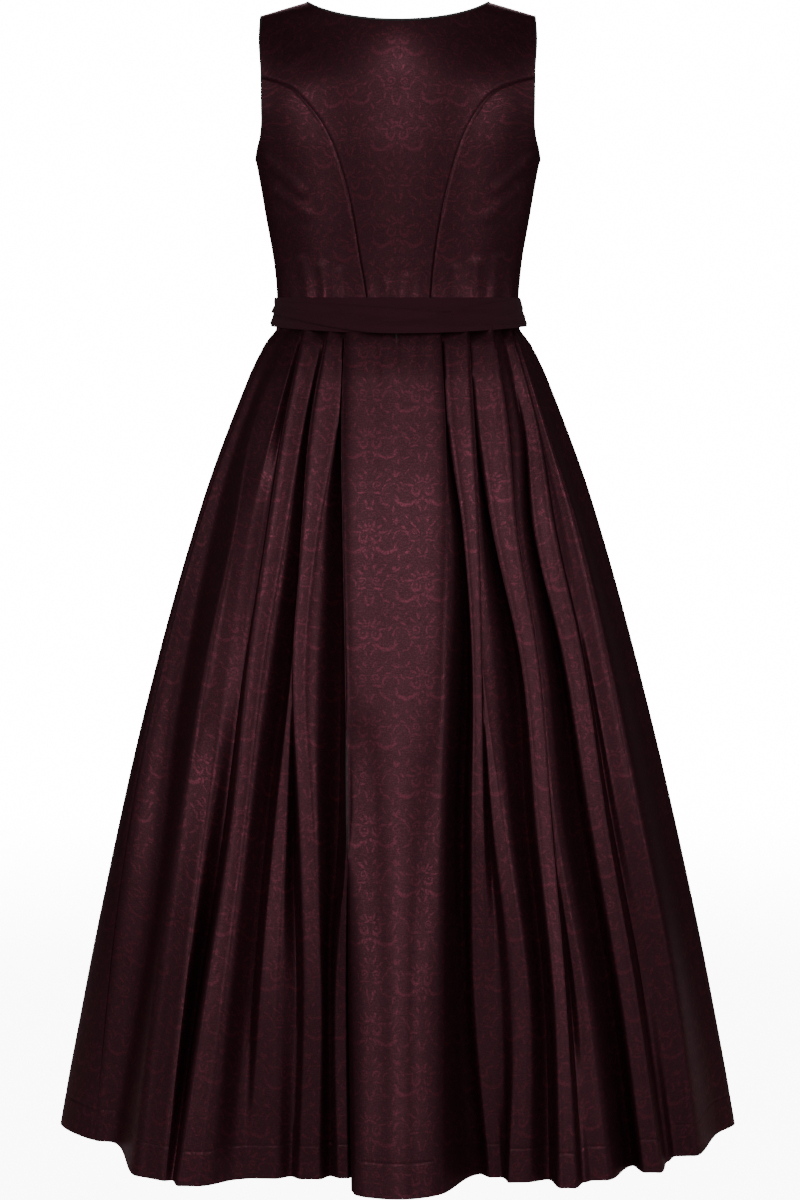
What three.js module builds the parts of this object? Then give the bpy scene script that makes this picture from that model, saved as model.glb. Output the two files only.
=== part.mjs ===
// A sleeveless, ankle-length dirndl dress, filled out as it is when worn.
// Millimetres, +Z up. The back of the dress faces -Y and +X is to the right in the back view.
// The origin lies between the two shoulder straps, where the wearer's shoulders hold the dress.
import * as THREE from 'three';

const { sin, cos, asin, hypot, min, max, sqrt, exp, PI } = Math;
const DEGREE = PI / 180;
const BACK = { name: 'back', sign: -1 };
const FRONT = { name: 'front', sign: 1 };

// Cloth thickness and the gaps between pieces
const BODICE_CLOTH = 1.5;
const SKIRT_CLOTH = 1.4;
const SASH_CLOTH = 2.4;
const PLACKET_CLOTH = 1.2;
const SEAM_GAP = 0.3;
const LAYER_GAP = 0.4;
const LEAST_MITRE = 0.55;

// Main heights and widths
const WAIST = -364;
const NECK_HALF_WIDTH = 106;
const STRAP_OUTER_EDGE = 158;
const NECK = { back: { drop: 28.6, curve: 0.7 }, front: { drop: 118, curve: 0.5 } };
const UNDERARM = -178;

// Line of the shoulder: height over the middle, slope, and the radius that rounds its peak
const SHOULDER = { height: 41.05, slope: 0.3, peak: 30, rounding: 120 };

// Hollow form of the bodice: half width, and depth behind and in front of the side seams
const TORSO = [
  { z: 8, wide: 184, back: 106, front: 116 },
  { z: -52, wide: 184, back: 108, front: 118 },
  { z: -112, wide: 180, back: 108, front: 121 },
  { z: -152, wide: 172, back: 107, front: 124 },
  { z: -178, wide: 166, back: 105, front: 126 },
  { z: -198, wide: 162, back: 103, front: 125 },
  { z: -245, wide: 154, back: 98, front: 117 },
  { z: -291, wide: 146, back: 93, front: 107 },
  { z: -334, wide: 142, back: 90, front: 100 },
  { z: -364, wide: 143, back: 92, front: 99 },
];

// Fullness that the front darts and princess seams give over the bust
const BUST = { x: 77, z: -200, reach: 24, halfWidth: 50, halfHeight: 52 };

// Armhole: how far round its back and front edges stand at each height, in degrees
const ARMHOLE = [
  { z: -8, back: 59.2, front: 59.2 },
  { z: -36, back: 59.8, front: 57.4 },
  { z: -82, back: 59.1, front: 54.5 },
  { z: -128, back: 61.9, front: 58.0 },
  { z: -152, back: 67.6, front: 65.5 },
  { z: -166, back: 75.5, front: 74.5 },
  { z: -174, back: 82.5, front: 82.0 },
  { z: UNDERARM, back: 90, front: 90 },
];

// Princess seams: distance from the middle, left and right in the back view, and on each front half
const BACK_PRINCESS = [
  { z: -82, left: 157, right: 157 },
  { z: -92, left: 128, right: 125 },
  { z: -105, left: 112, right: 104 },
  { z: -140, left: 85, right: 80 },
  { z: -182, left: 67, right: 64 },
  { z: -235, left: 53, right: 51 },
  { z: -288, left: 44, right: 42 },
  { z: -342, left: 35, right: 37 },
  { z: -364, left: 33, right: 35 },
];
const FRONT_PRINCESS = [
  { z: -90, left: 149, right: 149 },
  { z: -102, left: 136, right: 136 },
  { z: -125, left: 119, right: 119 },
  { z: -165, left: 97, right: 97 },
  { z: -205, left: 83, right: 83 },
  { z: -245, left: 76, right: 76 },
  { z: -291, left: 68, right: 68 },
  { z: -334, left: 62, right: 62 },
  { z: -364, left: 60, right: 60 },
];

// How the bodice panels are stepped: shares of a seam's height, and places across an edge in mm
const SEAM_STEPS = [0, 0.12, 0.25, 0.4, 0.54, 0.67, 0.78, 0.87, 0.93, 0.97, 1];
const ARMHOLE_STEPS = [0.3, 0.57, 0.78, 0.91, 0.98, 1];
const SIDE_STEPS = [0, 0.22, 0.44, 0.64, 0.82, 1];
const BACK_NECK_STEPS = [0, 30, 60, 84, 97, NECK_HALF_WIDTH, 132, STRAP_OUTER_EDGE];
const FRONT_NECK_STEPS = [0, 12, 36, 62, 84, 99, NECK_HALF_WIDTH, 132, STRAP_OUTER_EDGE];
const PLACKET_HALF_WIDTH = 12;

// Base of the skirt: half width and half depth of the ellipse that its folds stand on
const SKIRT = [
  { z: -364, wide: 142.6, deep: 94 },
  { z: -374, wide: 144.5, deep: 97 },
  { z: -389, wide: 156, deep: 107 },
  { z: -432, wide: 177, deep: 129 },
  { z: -574, wide: 230, deep: 175 },
  { z: -811, wide: 296, deep: 226 },
  { z: -1052, wide: 352, deep: 268 },
  { z: -1240, wide: 390, deep: 292 },
  { z: -1322, wide: 405, deep: 300 },
];
const PLEAT_RELEASE = 30;

// Fold lines of the skirt, counted round from the left side seam of the back view.
// deg is each line's place round the base and out its reach from it, in mm, at the heights in STATIONS.
const STATIONS = [-372, -541, -785, -1002, -1322];
const BACK_LINES = [
  { line: 'left side seam', deg: [-77, -79, -76, -72, -70.5], out: [0, 0, 2, -2, -28] },
  { line: 'seventh valley', deg: [-66, -70, -67, -61.5, -66], out: [-2, -8, -16, -26, -44] },
  { line: 'side lobe edge', deg: [-57, -55, -53, -49.5, -50.5], out: [1, 5, 10, 18, 10] },
  { line: 'side lobe crest', deg: [-50, -46, -45, -43, -41], out: [3, 8, 18, 28, 54] },
  { line: 'sixth valley', deg: [-45.5, -43, -40.5, -41, -36.5], out: [-2, -7, -10, -6, 50] },
  { line: 'sixth crest', deg: [-41, -37, -35, -32.5, -32], out: [2, 4, 10, 16, 48] },
  { line: 'fifth valley', deg: [-39, -35, -32, -28.5, -27.5], out: [0, 6, 8, -6, 12] },
  { line: 'fifth crest', deg: [-37, -33, -29.5, -23.5, -22.5], out: [3, 9, 14, 8, -14] },
  { line: 'fourth valley', deg: [-33, -29, -27, -21, -18.5], out: [-2, -7, -14, -14, -32] },
  { line: 'fourth crest', deg: [-26.5, -22.5, -21, -17, -15], out: [3, 8, 12, 8, -28] },
  { line: 'left panel valley', deg: [-22, -18.5, -16, -13, -11.5], out: [-3, -10, -20, -32, -52] },
  { line: 'left panel crease', deg: [-18, -15, -12, -10, -9.7], out: [1, 6, 12, 14, -48] },
  { line: 'left lobe foot', deg: [-16.3, -13.7, -11, -9, -7.9], out: [0, 6, 13, 20, -34] },
  { line: 'left lobe edge', deg: [-13.5, -12, -9.6, -7.8, -5.8], out: [0, 5, 13, 24, 44] },
  { line: 'back centre', deg: [0, 0, 0, 0, 0], out: [0, 4, 11, 22, 50] },
  { line: 'right lobe edge', deg: [13.5, 12, 9.4, 7.7, 5.8], out: [0, 5, 13, 24, 47] },
  { line: 'right lobe foot', deg: [16.3, 13.4, 10.6, 8.7, 8.2], out: [0, 6, 13, 20, -48] },
  { line: 'right panel crease', deg: [18, 14.7, 11.6, 9.7, 9.4], out: [1, 6, 12, 14, -66] },
  { line: 'right panel valley', deg: [22, 18, 15.5, 12.6, 13], out: [-3, -10, -20, -32, -56] },
  { line: 'first crest', deg: [26.5, 21.3, 17.7, 15.3, 17], out: [3, 7, 8, 4, -14] },
  { line: 'first valley', deg: [31, 25.3, 23.5, 19.4, 19.2], out: [-2, -6, -12, -12, 2] },
  { line: 'second crest', deg: [36, 29.6, 26.8, 22, 21.2], out: [3, 8, 13, 8, 16] },
  { line: 'second valley', deg: [38.5, 32.3, 29, 27, 24], out: [1, 4, 8, -6, 20] },
  { line: 'third crest', deg: [40.5, 34.3, 31.4, 30.5, 28], out: [3, 8, 16, 14, 42] },
  { line: 'third crest edge', deg: [42.5, 37.5, 34.3, 34.3, 32.5], out: [2, 4, 10, 10, 26] },
  { line: 'third valley', deg: [46, 42, 39, 40, 38.5], out: [-2, -7, -10, -16, -32] },
  { line: 'fourth crest', deg: [50.5, 46, 44.5, 43.5, 46], out: [3, 8, 15, 22, 27] },
  { line: 'fourth crest edge', deg: [54.5, 49, 47.5, 46.8, 50.5], out: [2, 5, 10, 16, 22] },
  { line: 'fourth valley', deg: [58, 53.5, 52, 53, 60], out: [-2, -4, -8, -12, -24] },
  { line: 'fifth crest', deg: [64, 58, 57, 59, 67], out: [2, 3, 5, 4, -27] },
  { line: 'fifth valley', deg: [73, 72, 76, 76, 78], out: [-1, -7, -9, -12, -19] },
  { line: 'right side seam', deg: [90, 90, 90, 90, 90], out: [0, 0, 0, 0, 0] },
];
const FRONT_LINES = [
  { line: 'right first valley', deg: [106, 107, 108, 108, 109], out: [-2, -6, -10, -14, -20] },
  { line: 'right first crest', deg: [115, 117, 119, 121, 121], out: [2, 6, 12, 20, 28] },
  { line: 'right second valley', deg: [124, 127, 130, 132, 131], out: [-2, -8, -14, -20, -30] },
  { line: 'right second crest', deg: [133, 137, 139, 142, 142], out: [3, 8, 15, 22, 30] },
  { line: 'right third valley', deg: [141, 146, 149, 151, 150], out: [-3, -8, -16, -24, -32] },
  { line: 'right third crest', deg: [149, 153, 156, 159, 158], out: [2, 7, 13, 18, 28] },
  { line: 'right panel valley', deg: [157, 161, 164, 166, 167], out: [-3, -9, -18, -26, -36] },
  { line: 'right panel edge', deg: [161.5, 165, 168, 169.6, 170], out: [1, 6, 11, 15, 20] },
  { line: 'front centre', deg: [180, 180, 180, 180, 180], out: [0, 4, 9, 15, 24] },
  { line: 'left panel edge', deg: [198.5, 195, 192, 190.4, 190], out: [1, 6, 11, 15, 20] },
  { line: 'left panel valley', deg: [203, 199, 196, 194, 193], out: [-3, -10, -19, -28, -38] },
  { line: 'left third crest', deg: [210, 207, 204, 201, 202], out: [2, 7, 12, 20, 26] },
  { line: 'left third valley', deg: [219, 215, 212, 210, 211], out: [-3, -8, -15, -22, -34] },
  { line: 'left second crest', deg: [228, 224, 221, 219, 220], out: [3, 8, 14, 20, 32] },
  { line: 'left second valley', deg: [237, 234, 231, 229, 231], out: [-2, -7, -15, -22, -28] },
  { line: 'left first crest', deg: [245, 244, 242, 241, 242], out: [2, 7, 13, 18, 26] },
  { line: 'left first valley', deg: [257, 256, 255, 254, 255], out: [-2, -6, -9, -14, -20] },
  { line: 'left side crest', deg: [270, 270, 270, 270, 270], out: [0, 0, 0, 0, 0] },
];
const SKIRT_ROWS = [-364, -377, -391, -430, -500, -600, -720, -840, -960, -1080, -1190, -1270, -1322];
const BACK_STEPS_PER_FOLD = 2;
const FRONT_STEPS_PER_FOLD = 3;
const SLOPE_SAMPLE = { along: 0.05, up: 2 };

// Sash wound round the waist: outer half width and depths, and the soft rolls along it
const SASH = [
  { z: -333, wide: 145.2, back: 93.4, front: 103.4 },
  { z: -350, wide: 146.6, back: 95.6, front: 105 },
  { z: -362, wide: 149, back: 98.6, front: 107.4 },
  { z: -374, wide: 151.4, back: 101.6, front: 110 },
  { z: -380, wide: 152.4, back: 102.6, front: 111 },
];
const SASH_TOP = -335;
const SASH_BOTTOM = { back: -376, side: -369, front: -373 };
const SASH_ROLL = { count: 3, height: 1.3, drift: 0.3, turn: 0.6 };
const SASH_ROUND = 44;
const SASH_ROWS = 9;

// Knot and hanging ends of the sash at the front
const KNOT = {
  halfWidth: 24, halfHeight: 23, depth: 12, edge: 2.5, z: -354, steps: 8, pinch: 0.16, corner: 3,
};
const SASH_ENDS = [
  { name: 'sash_end_left', inner: 0.06, outer: 0.8, bottom: -640, slant: 26 },
  { name: 'sash_end_right', inner: -0.1, outer: -0.78, bottom: -604, slant: 22 },
];
const SASH_END = {
  cloth: 1.6, gap: 0.5, top: -385, lift: 8, settle: 16, steps: 9, columns: 4, wave: 2.2,
};

// Piping cords and buttons
const NECK_CORD = 1.7;
const ARMHOLE_CORD = 1.3;
const CORD_SIDES = 8;
const BUTTON = { radius: 5.6, height: 3.4, sides: 14, lift: 0.8, first: -128, last: -316, count: 6 };

const SATIN = material('wine satin jacquard', 0x5b1526, 0.42);
const SASH_CRAPE = material('plain matte sash cloth', 0x4b1f2a, 0.78);
const CORD = material('charcoal cord', 0x2c2a2d, 0.6);
const HORN = material('dark horn', 0x2a1a1a, 0.35);

function material(name, color, roughness) {
  return new THREE.MeshStandardMaterial({ name, color, roughness, metalness: 0 });
}

// Smooth value through a column of numbers that belong to falling heights
function through(heights, values, z) {
  const last = heights.length - 1;
  let i = heights.findIndex((height, k) => k > 0 && height <= z);
  if (i < 0) i = last;
  const slope = (k) => {
    const a = max(0, k - 1);
    const b = min(last, k + 1);
    return (values[b] - values[a]) / (heights[b] - heights[a]);
  };
  const step = heights[i] - heights[i - 1];
  const t = (z - heights[i - 1]) / step;
  if (t < 0) return values[0];
  if (t > 1) return values[last];
  const rise = values[i] - values[i - 1];
  const bend = t * t * (3 - 2 * t);
  const lead = t * (1 - t) * (1 - t) * slope(i - 1) * step;
  const trail = t * t * (1 - t) * slope(i) * step;
  return values[i - 1] + rise * bend + lead - trail;
}

function column(rows, name, z) {
  return through(rows.map((row) => row.z), rows.map((row) => row[name]), z);
}

function shoulderHeight(x) {
  return SHOULDER.height - SHOULDER.slope * hypot(x, SHOULDER.peak);
}

// Squared depth of the bodice cloth behind or in front of the plane of the side seams
function depthSquared(side, x, z) {
  const wide = column(TORSO, 'wide', z);
  const depth = column(TORSO, side.name, z);
  const drop = min(SHOULDER.rounding, shoulderHeight(x) - z);
  const rounding = 1 - (1 - drop / SHOULDER.rounding) ** 2;
  const offX = (Math.abs(x) - BUST.x) / BUST.halfWidth;
  const offZ = (z - BUST.z) / BUST.halfHeight;
  const bust = side === FRONT ? BUST.reach * exp(-offX * offX - offZ * offZ) : 0;
  const filled = rounding * depth * depth + 2 * sqrt(max(0, rounding)) * depth * bust + bust * bust;
  return (1 - (x / wide) ** 2) * filled;
}

// Point of the bodice's outer face, and the direction straight out of the cloth there
function onTorso(side, deg, z) {
  const x = column(TORSO, 'wide', z) * sin(deg * DEGREE);
  const y = side.sign * sqrt(max(0, depthSquared(side, x, z)));
  const step = 0.5;
  const slopeX = (depthSquared(side, x + step, z) - depthSquared(side, x - step, z)) / (2 * step);
  const slopeZ = (depthSquared(side, x, z + step) - depthSquared(side, x, z - step)) / (2 * step);
  const out = new THREE.Vector3(-slopeX, 2 * y, -slopeZ).normalize();
  return { point: new THREE.Vector3(x, y, z), out };
}

function degreesAt(x, z) {
  return asin(max(-1, min(1, x / column(TORSO, 'wide', z)))) / DEGREE;
}

function place(x, z) {
  return { deg: degreesAt(x, z), z };
}

// Edge lines of the bodice panels, each a list of places, from the waist upwards or from the middle out
function princess(side, hand, mirror) {
  const rows = side === BACK ? BACK_PRINCESS : FRONT_PRINCESS;
  return SEAM_STEPS.map((share) => {
    const z = WAIST + (rows[0].z - WAIST) * share;
    return place(mirror * column(rows, hand, z), z);
  });
}

// Outer edge of a centre panel: its princess seam, then its side of the armhole
function outerEdge(side, hand, mirror) {
  const seam = princess(side, hand, mirror);
  const bottom = seam[seam.length - 1].z;
  const top = shoulderHeight(STRAP_OUTER_EDGE);
  const armhole = ARMHOLE_STEPS.map((share) => {
    const z = bottom + (top - bottom) * share;
    const deg = share === 1 ? degreesAt(STRAP_OUTER_EDGE, top) : column(ARMHOLE, side.name, z);
    return { deg: mirror * deg, z };
  });
  return [...seam, ...armhole];
}

// The armhole from a princess seam's top down to the side seam
function armholeDown(side, mirror, top) {
  return SIDE_STEPS.map((share) => {
    const z = top + (UNDERARM - top) * sin(share * PI / 2);
    return { deg: mirror * (share === 1 ? 90 : column(ARMHOLE, side.name, z)), z };
  });
}

function neckHeight(side, x) {
  if (Math.abs(x) >= NECK_HALF_WIDTH) return shoulderHeight(x);
  const share = 1 - (x / NECK_HALF_WIDTH) ** 2;
  const { drop, curve } = NECK[side.name];
  return shoulderHeight(NECK_HALF_WIDTH) - drop * share ** curve;
}

function neckLine(side, places) {
  return places.map((x) => place(x, neckHeight(side, x)));
}

function waistLine(from, to, steps) {
  return steps.map((share) => place(from + (to - from) * share, WAIST));
}

// Grid of places inside four edge lines: left and right run up, bottom and top run left to right
function patch(side, left, right, bottom, top) {
  const rows = left.length - 1;
  const columns = bottom.length - 1;
  const grow = (line, i) => (line[i].z - line[0].z) / (line[rows].z - line[0].z);
  const grid = [];
  for (let i = 0; i <= rows; i++) {
    const v = (grow(left, i) + grow(right, i)) / 2;
    const row = [];
    for (let j = 0; j <= columns; j++) {
      const u = j / columns;
      const spot = {};
      for (const key of ['deg', 'z']) {
        const ruled = (k) => bottom[k][key] * (1 - v) + top[k][key] * v;
        const pullLeft = (1 - u) ** 2 * (left[i][key] - ruled(0));
        const pullRight = u ** 2 * (right[i][key] - ruled(columns));
        spot[key] = ruled(j) + pullLeft + pullRight;
      }
      row.push(onTorso(side, spot.deg, spot.z));
    }
    grid.push(row);
  }
  return grid;
}

// Draws the four edges of a grid of cloth in by half a seam gap, along the cloth
function drawIn(grid) {
  const rows = grid.length - 1;
  const columns = grid[0].length - 1;
  const moved = grid.map((row) => row.map((spot) => ({ point: spot.point.clone(), out: spot.out })));
  const pull = (i, j, inI, inJ, alongI, alongJ) => {
    const before = grid[max(0, i - alongI)][max(0, j - alongJ)].point;
    const after = grid[min(rows, i + alongI)][min(columns, j + alongJ)].point;
    const inward = after.clone().sub(before).cross(grid[i][j].out).normalize();
    const inside = grid[i + inI][j + inJ].point.clone().sub(grid[i][j].point);
    if (inward.dot(inside) < 0) inward.negate();
    moved[i][j].point.addScaledVector(inward, SEAM_GAP / 2);
  };
  for (let j = 0; j <= columns; j++) {
    pull(0, j, 1, 0, 0, 1);
    pull(rows, j, -1, 0, 0, 1);
  }
  for (let i = 0; i <= rows; i++) {
    pull(i, 0, 0, 1, 1, 0);
    pull(i, columns, 0, -1, 1, 0);
  }
  return moved;
}

function moveOut(grid, distance) {
  return grid.map((row) => row.map((spot) => spot.point.clone().addScaledVector(spot.out, distance)));
}

// Closed solid from points and triangle corners, turned so that its faces point out
function solid(points, corners) {
  let volume = 0;
  for (let k = 0; k < corners.length; k += 3) {
    const [a, b, c] = [points[corners[k]], points[corners[k + 1]], points[corners[k + 2]]];
    volume += a.dot(b.clone().cross(c));
  }
  if (volume < 0) corners.reverse();
  const geometry = new THREE.BufferGeometry().setFromPoints(points);
  geometry.setIndex(corners);
  geometry.computeVertexNormals();
  return geometry;
}

// Wall between an outer and an inner grid of points; a ring closes on itself across its columns
function wall(outer, inner, ring = false) {
  const rows = outer.length;
  const columns = outer[0].length;
  const steps = ring ? columns : columns - 1;
  const corners = [];
  const at = (layer, i, j) => (layer * rows + i) * columns + (j % columns);
  const quad = (a, b, c, d) => corners.push(a, b, c, a, c, d);
  for (let j = 0; j < steps; j++) {
    for (let i = 0; i < rows - 1; i++) {
      quad(at(0, i, j), at(0, i, j + 1), at(0, i + 1, j + 1), at(0, i + 1, j));
      quad(at(1, i, j), at(1, i + 1, j), at(1, i + 1, j + 1), at(1, i, j + 1));
    }
    quad(at(0, 0, j), at(1, 0, j), at(1, 0, j + 1), at(0, 0, j + 1));
    quad(at(0, rows - 1, j), at(0, rows - 1, j + 1), at(1, rows - 1, j + 1), at(1, rows - 1, j));
  }
  const end = columns - 1;
  for (let i = 0; i < rows - 1 && !ring; i++) {
    quad(at(0, i, 0), at(0, i + 1, 0), at(1, i + 1, 0), at(1, i, 0));
    quad(at(0, i, end), at(1, i, end), at(1, i + 1, end), at(0, i + 1, end));
  }
  return solid([...outer.flat(), ...inner.flat()], corners);
}

// Inner face of cloth, set deeper at sharp folds so that the wall keeps its thickness beside them
function innerFace(grid, thickness) {
  const last = grid[0].length - 1;
  return grid.map((row) => row.map((spot, j) => {
    const lean = [row[max(0, j - 1)], row[min(last, j + 1)]].map((near) => {
      const along = near.point.clone().sub(spot.point);
      return along.lengthSq() === 0 ? 0 : Math.abs(along.normalize().dot(spot.out));
    });
    const share = max(LEAST_MITRE, sqrt(1 - max(...lean) ** 2));
    return spot.point.clone().addScaledVector(spot.out, -thickness / share);
  }));
}

function panelWall(grid, thickness) {
  return wall(moveOut(grid, 0), innerFace(grid, thickness));
}

// Round cord along the free edge of cloth: each spot holds the edge point, the way out and an inner point
function edgeCord(spots, radius, closed) {
  const count = spots.length;
  const sections = spots.map((spot, k) => {
    const before = spots[closed ? (k + count - 1) % count : max(0, k - 1)].point;
    const after = spots[closed ? (k + 1) % count : min(count - 1, k + 1)].point;
    const off = after.clone().sub(before).cross(spot.out).normalize();
    if (off.dot(spot.point.clone().sub(spot.inside)) < 0) off.negate();
    const middle = spot.point.clone().addScaledVector(off, radius + SEAM_GAP);
    return Array.from({ length: CORD_SIDES }, (_, side) => {
      const turn = (side + 0.5) / CORD_SIDES * 2 * PI;
      const point = middle.clone().addScaledVector(off, radius * cos(turn));
      return point.addScaledVector(spot.out, radius * sin(turn));
    });
  });
  const corners = [];
  const at = (k, side) => (k % count) * CORD_SIDES + (side % CORD_SIDES);
  for (let k = 0; k < (closed ? count : count - 1); k++) {
    for (let side = 0; side < CORD_SIDES; side++) {
      corners.push(at(k, side), at(k, side + 1), at(k + 1, side + 1));
      corners.push(at(k, side), at(k + 1, side + 1), at(k + 1, side));
    }
  }
  for (let side = 1; side < CORD_SIDES - 1 && !closed; side++) {
    corners.push(at(0, 0), at(0, side + 1), at(0, side));
    corners.push(at(count - 1, 0), at(count - 1, side), at(count - 1, side + 1));
  }
  return solid(sections.flat(), corners);
}

// Middle of the cloth's cut edge at one grid place, for a cord that is sewn along it
function edgeSpot(grid, i, j, inI, inJ) {
  const middle = (spot) => spot.point.clone().addScaledVector(spot.out, -BODICE_CLOTH / 2);
  return { point: middle(grid[i][j]), out: grid[i][j].out, inside: middle(grid[i + inI][j + inJ]) };
}

// Bodice panels
function backCentre() {
  const mirrored = BACK_NECK_STEPS.slice(1).reverse().map((x) => -x);
  const across = [...mirrored, ...BACK_NECK_STEPS];
  const shares = across.map((_, k) => k / (across.length - 1));
  const reach = (hand) => column(BACK_PRINCESS, hand, WAIST);
  const bottom = waistLine(-reach('left'), reach('right'), shares);
  const [left, right] = [outerEdge(BACK, 'left', -1), outerEdge(BACK, 'right', 1)];
  return drawIn(patch(BACK, left, right, bottom, neckLine(BACK, across)));
}

function frontCentre(hand, mirror) {
  const outer = outerEdge(FRONT, hand, mirror);
  const neck = neckLine(FRONT, FRONT_NECK_STEPS.map((x) => mirror * x));
  const reach = column(FRONT_PRINCESS, hand, WAIST);
  const first = PLACKET_HALF_WIDTH / reach;
  const span = STRAP_OUTER_EDGE - PLACKET_HALF_WIDTH;
  const beyond = FRONT_NECK_STEPS.slice(1).map((x) => (x - PLACKET_HALF_WIDTH) / span);
  const shares = [0, ...beyond.map((share) => first + (1 - first) * share)];
  const middle = outer.map((spot) => {
    const share = (spot.z - WAIST) / (outer[outer.length - 1].z - WAIST);
    return { deg: 0, z: WAIST + (neck[0].z - WAIST) * share };
  });
  return drawIn(patch(FRONT, middle, outer, waistLine(0, mirror * reach, shares), neck));
}

function sidePanel(side, hand, mirror) {
  const seam = princess(side, hand, mirror);
  const sideSeam = SEAM_STEPS.map((share) => ({ deg: mirror * 90, z: WAIST + (UNDERARM - WAIST) * share }));
  const from = seam[0].deg;
  const bottom = SIDE_STEPS.map((share) => ({ deg: from + (mirror * 90 - from) * share, z: WAIST }));
  const top = armholeDown(side, mirror, seam[seam.length - 1].z);
  return drawIn(patch(side, seam, sideSeam, bottom, top));
}

// Edge of one armhole: down its back edge, under the arm and up its front edge
function armholeEdge(mirror, back, backSide, frontSide, front) {
  const turn = SEAM_STEPS.length - 1;
  const end = back.length - 1;
  const backColumn = mirror > 0 ? back[0].length - 1 : 0;
  const inward = mirror > 0 ? -1 : 1;
  const frontColumn = front[0].length - 1;
  const spots = [];
  for (let i = end; i > turn; i--) spots.push(edgeSpot(back, i, backColumn, 0, inward));
  const last = SIDE_STEPS.length - 1;
  for (let j = 0; j <= last; j++) spots.push(edgeSpot(backSide, turn, j, -1, 0));
  for (let j = last - 1; j >= 0; j--) spots.push(edgeSpot(frontSide, turn, j, -1, 0));
  for (let i = turn + 1; i < end; i++) spots.push(edgeSpot(front, i, frontColumn, 0, -1));
  return spots;
}

// Edge of the neck: from the middle of the right front, round the back, to the middle of the left front
function neckEdge(frontRight, back, frontLeft) {
  const top = back.length - 1;
  const strap = 2;
  const frontEnd = frontRight[0].length - 1 - strap;
  const backEnd = back[0].length - 1 - strap;
  const spots = [];
  for (let j = 0; j <= frontEnd; j++) spots.push(edgeSpot(frontRight, top, j, -1, 0));
  for (let j = backEnd - 1; j > strap; j--) spots.push(edgeSpot(back, top, j, -1, 0));
  for (let j = frontEnd; j >= 0; j--) spots.push(edgeSpot(frontLeft, top, j, -1, 0));
  return spots;
}

// Spot of cloth part of the way from one spot to another
function between(low, high, share) {
  const out = low.out.clone().lerp(high.out, share).normalize();
  return { point: low.point.clone().lerp(high.point, share), out };
}

// Strip over the front opening, down to the sash, from the first columns of both front panels
function placketGrid(left, right) {
  const grid = left.map((row, i) => [row[1], row[0], right[i][0], right[i][1]]);
  const end = SASH_TOP + LAYER_GAP;
  const above = grid.findIndex((row) => row[1].point.z > end);
  const [low, high] = [grid[above - 1], grid[above]];
  const share = (j) => (end - low[j].point.z) / (high[j].point.z - low[j].point.z);
  const foot = low.map((spot, j) => between(spot, high[j], share(j)));
  return [foot, ...grid.slice(above)];
}

function placket(grid) {
  return wall(moveOut(grid, LAYER_GAP + PLACKET_CLOTH), moveOut(grid, LAYER_GAP));
}

function button(grid, z) {
  const upper = grid.findIndex((row) => row[1].point.z > z);
  const [low, high] = [grid[upper - 1][1], grid[upper][1]];
  const share = (z - low.point.z) / (high.point.z - low.point.z);
  const spot = between(low, high, share);
  const out = spot.out.setX(0).normalize();
  const lift = LAYER_GAP + PLACKET_CLOTH + BUTTON.lift;
  const seat = spot.point.setX(0).addScaledVector(out, lift);
  const { radius, height } = BUTTON;
  const profile = [
    [0, 0], [radius * 0.82, 0], [radius, height * 0.35], [radius * 0.86, height * 0.8],
    [radius * 0.5, height], [0, height * 0.9],
  ].map(([x, y]) => new THREE.Vector2(x, y));
  const geometry = new THREE.LatheGeometry(profile, BUTTON.sides);
  const mesh = new THREE.Mesh(geometry, HORN);
  mesh.quaternion.setFromUnitVectors(new THREE.Vector3(0, 1, 0), out);
  mesh.position.copy(seat);
  return mesh;
}

// Plan of the skirt at one height: a closed curve through all its fold lines
function skirtPlan(z) {
  const wide = column(SKIRT, 'wide', z);
  const deep = column(SKIRT, 'deep', z);
  const open = max(0, min(1, (WAIST - z) / PLEAT_RELEASE));
  const release = open * open * (3 - 2 * open);
  const points = [...BACK_LINES, ...FRONT_LINES].map((fold) => {
    const turn = through(STATIONS, fold.deg, z) * DEGREE;
    const off = new THREE.Vector3(deep * sin(turn), -wide * cos(turn), 0).normalize();
    const base = new THREE.Vector3(wide * sin(turn), -deep * cos(turn), z);
    return base.addScaledVector(off, through(STATIONS, fold.out, z) * release);
  });
  return new THREE.CatmullRomCurve3(points, true, 'centripetal');
}

// Grid of the skirt's outer face between two fold lines, at the given heights
function skirtGrid(places, heights) {
  const count = BACK_LINES.length + FRONT_LINES.length;
  const at = (curve, fold) => curve.getPoint(((fold + count) % count) / count);
  const { along, up } = SLOPE_SAMPLE;
  return heights.map((z) => {
    const [plan, below, above] = [skirtPlan(z), skirtPlan(z - up), skirtPlan(z + up)];
    return places.map((fold) => {
      const around = at(plan, fold + along).sub(at(plan, fold - along));
      const rise = at(above, fold).sub(at(below, fold));
      return { point: at(plan, fold), out: around.cross(rise).normalize() };
    });
  });
}

function skirt(from, to, stepsPerFold) {
  const steps = (to - from) * stepsPerFold;
  const places = Array.from({ length: steps + 1 }, (_, k) => from + k / stepsPerFold);
  return panelWall(drawIn(skirtGrid(places, SKIRT_ROWS)), SKIRT_CLOTH);
}

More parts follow.
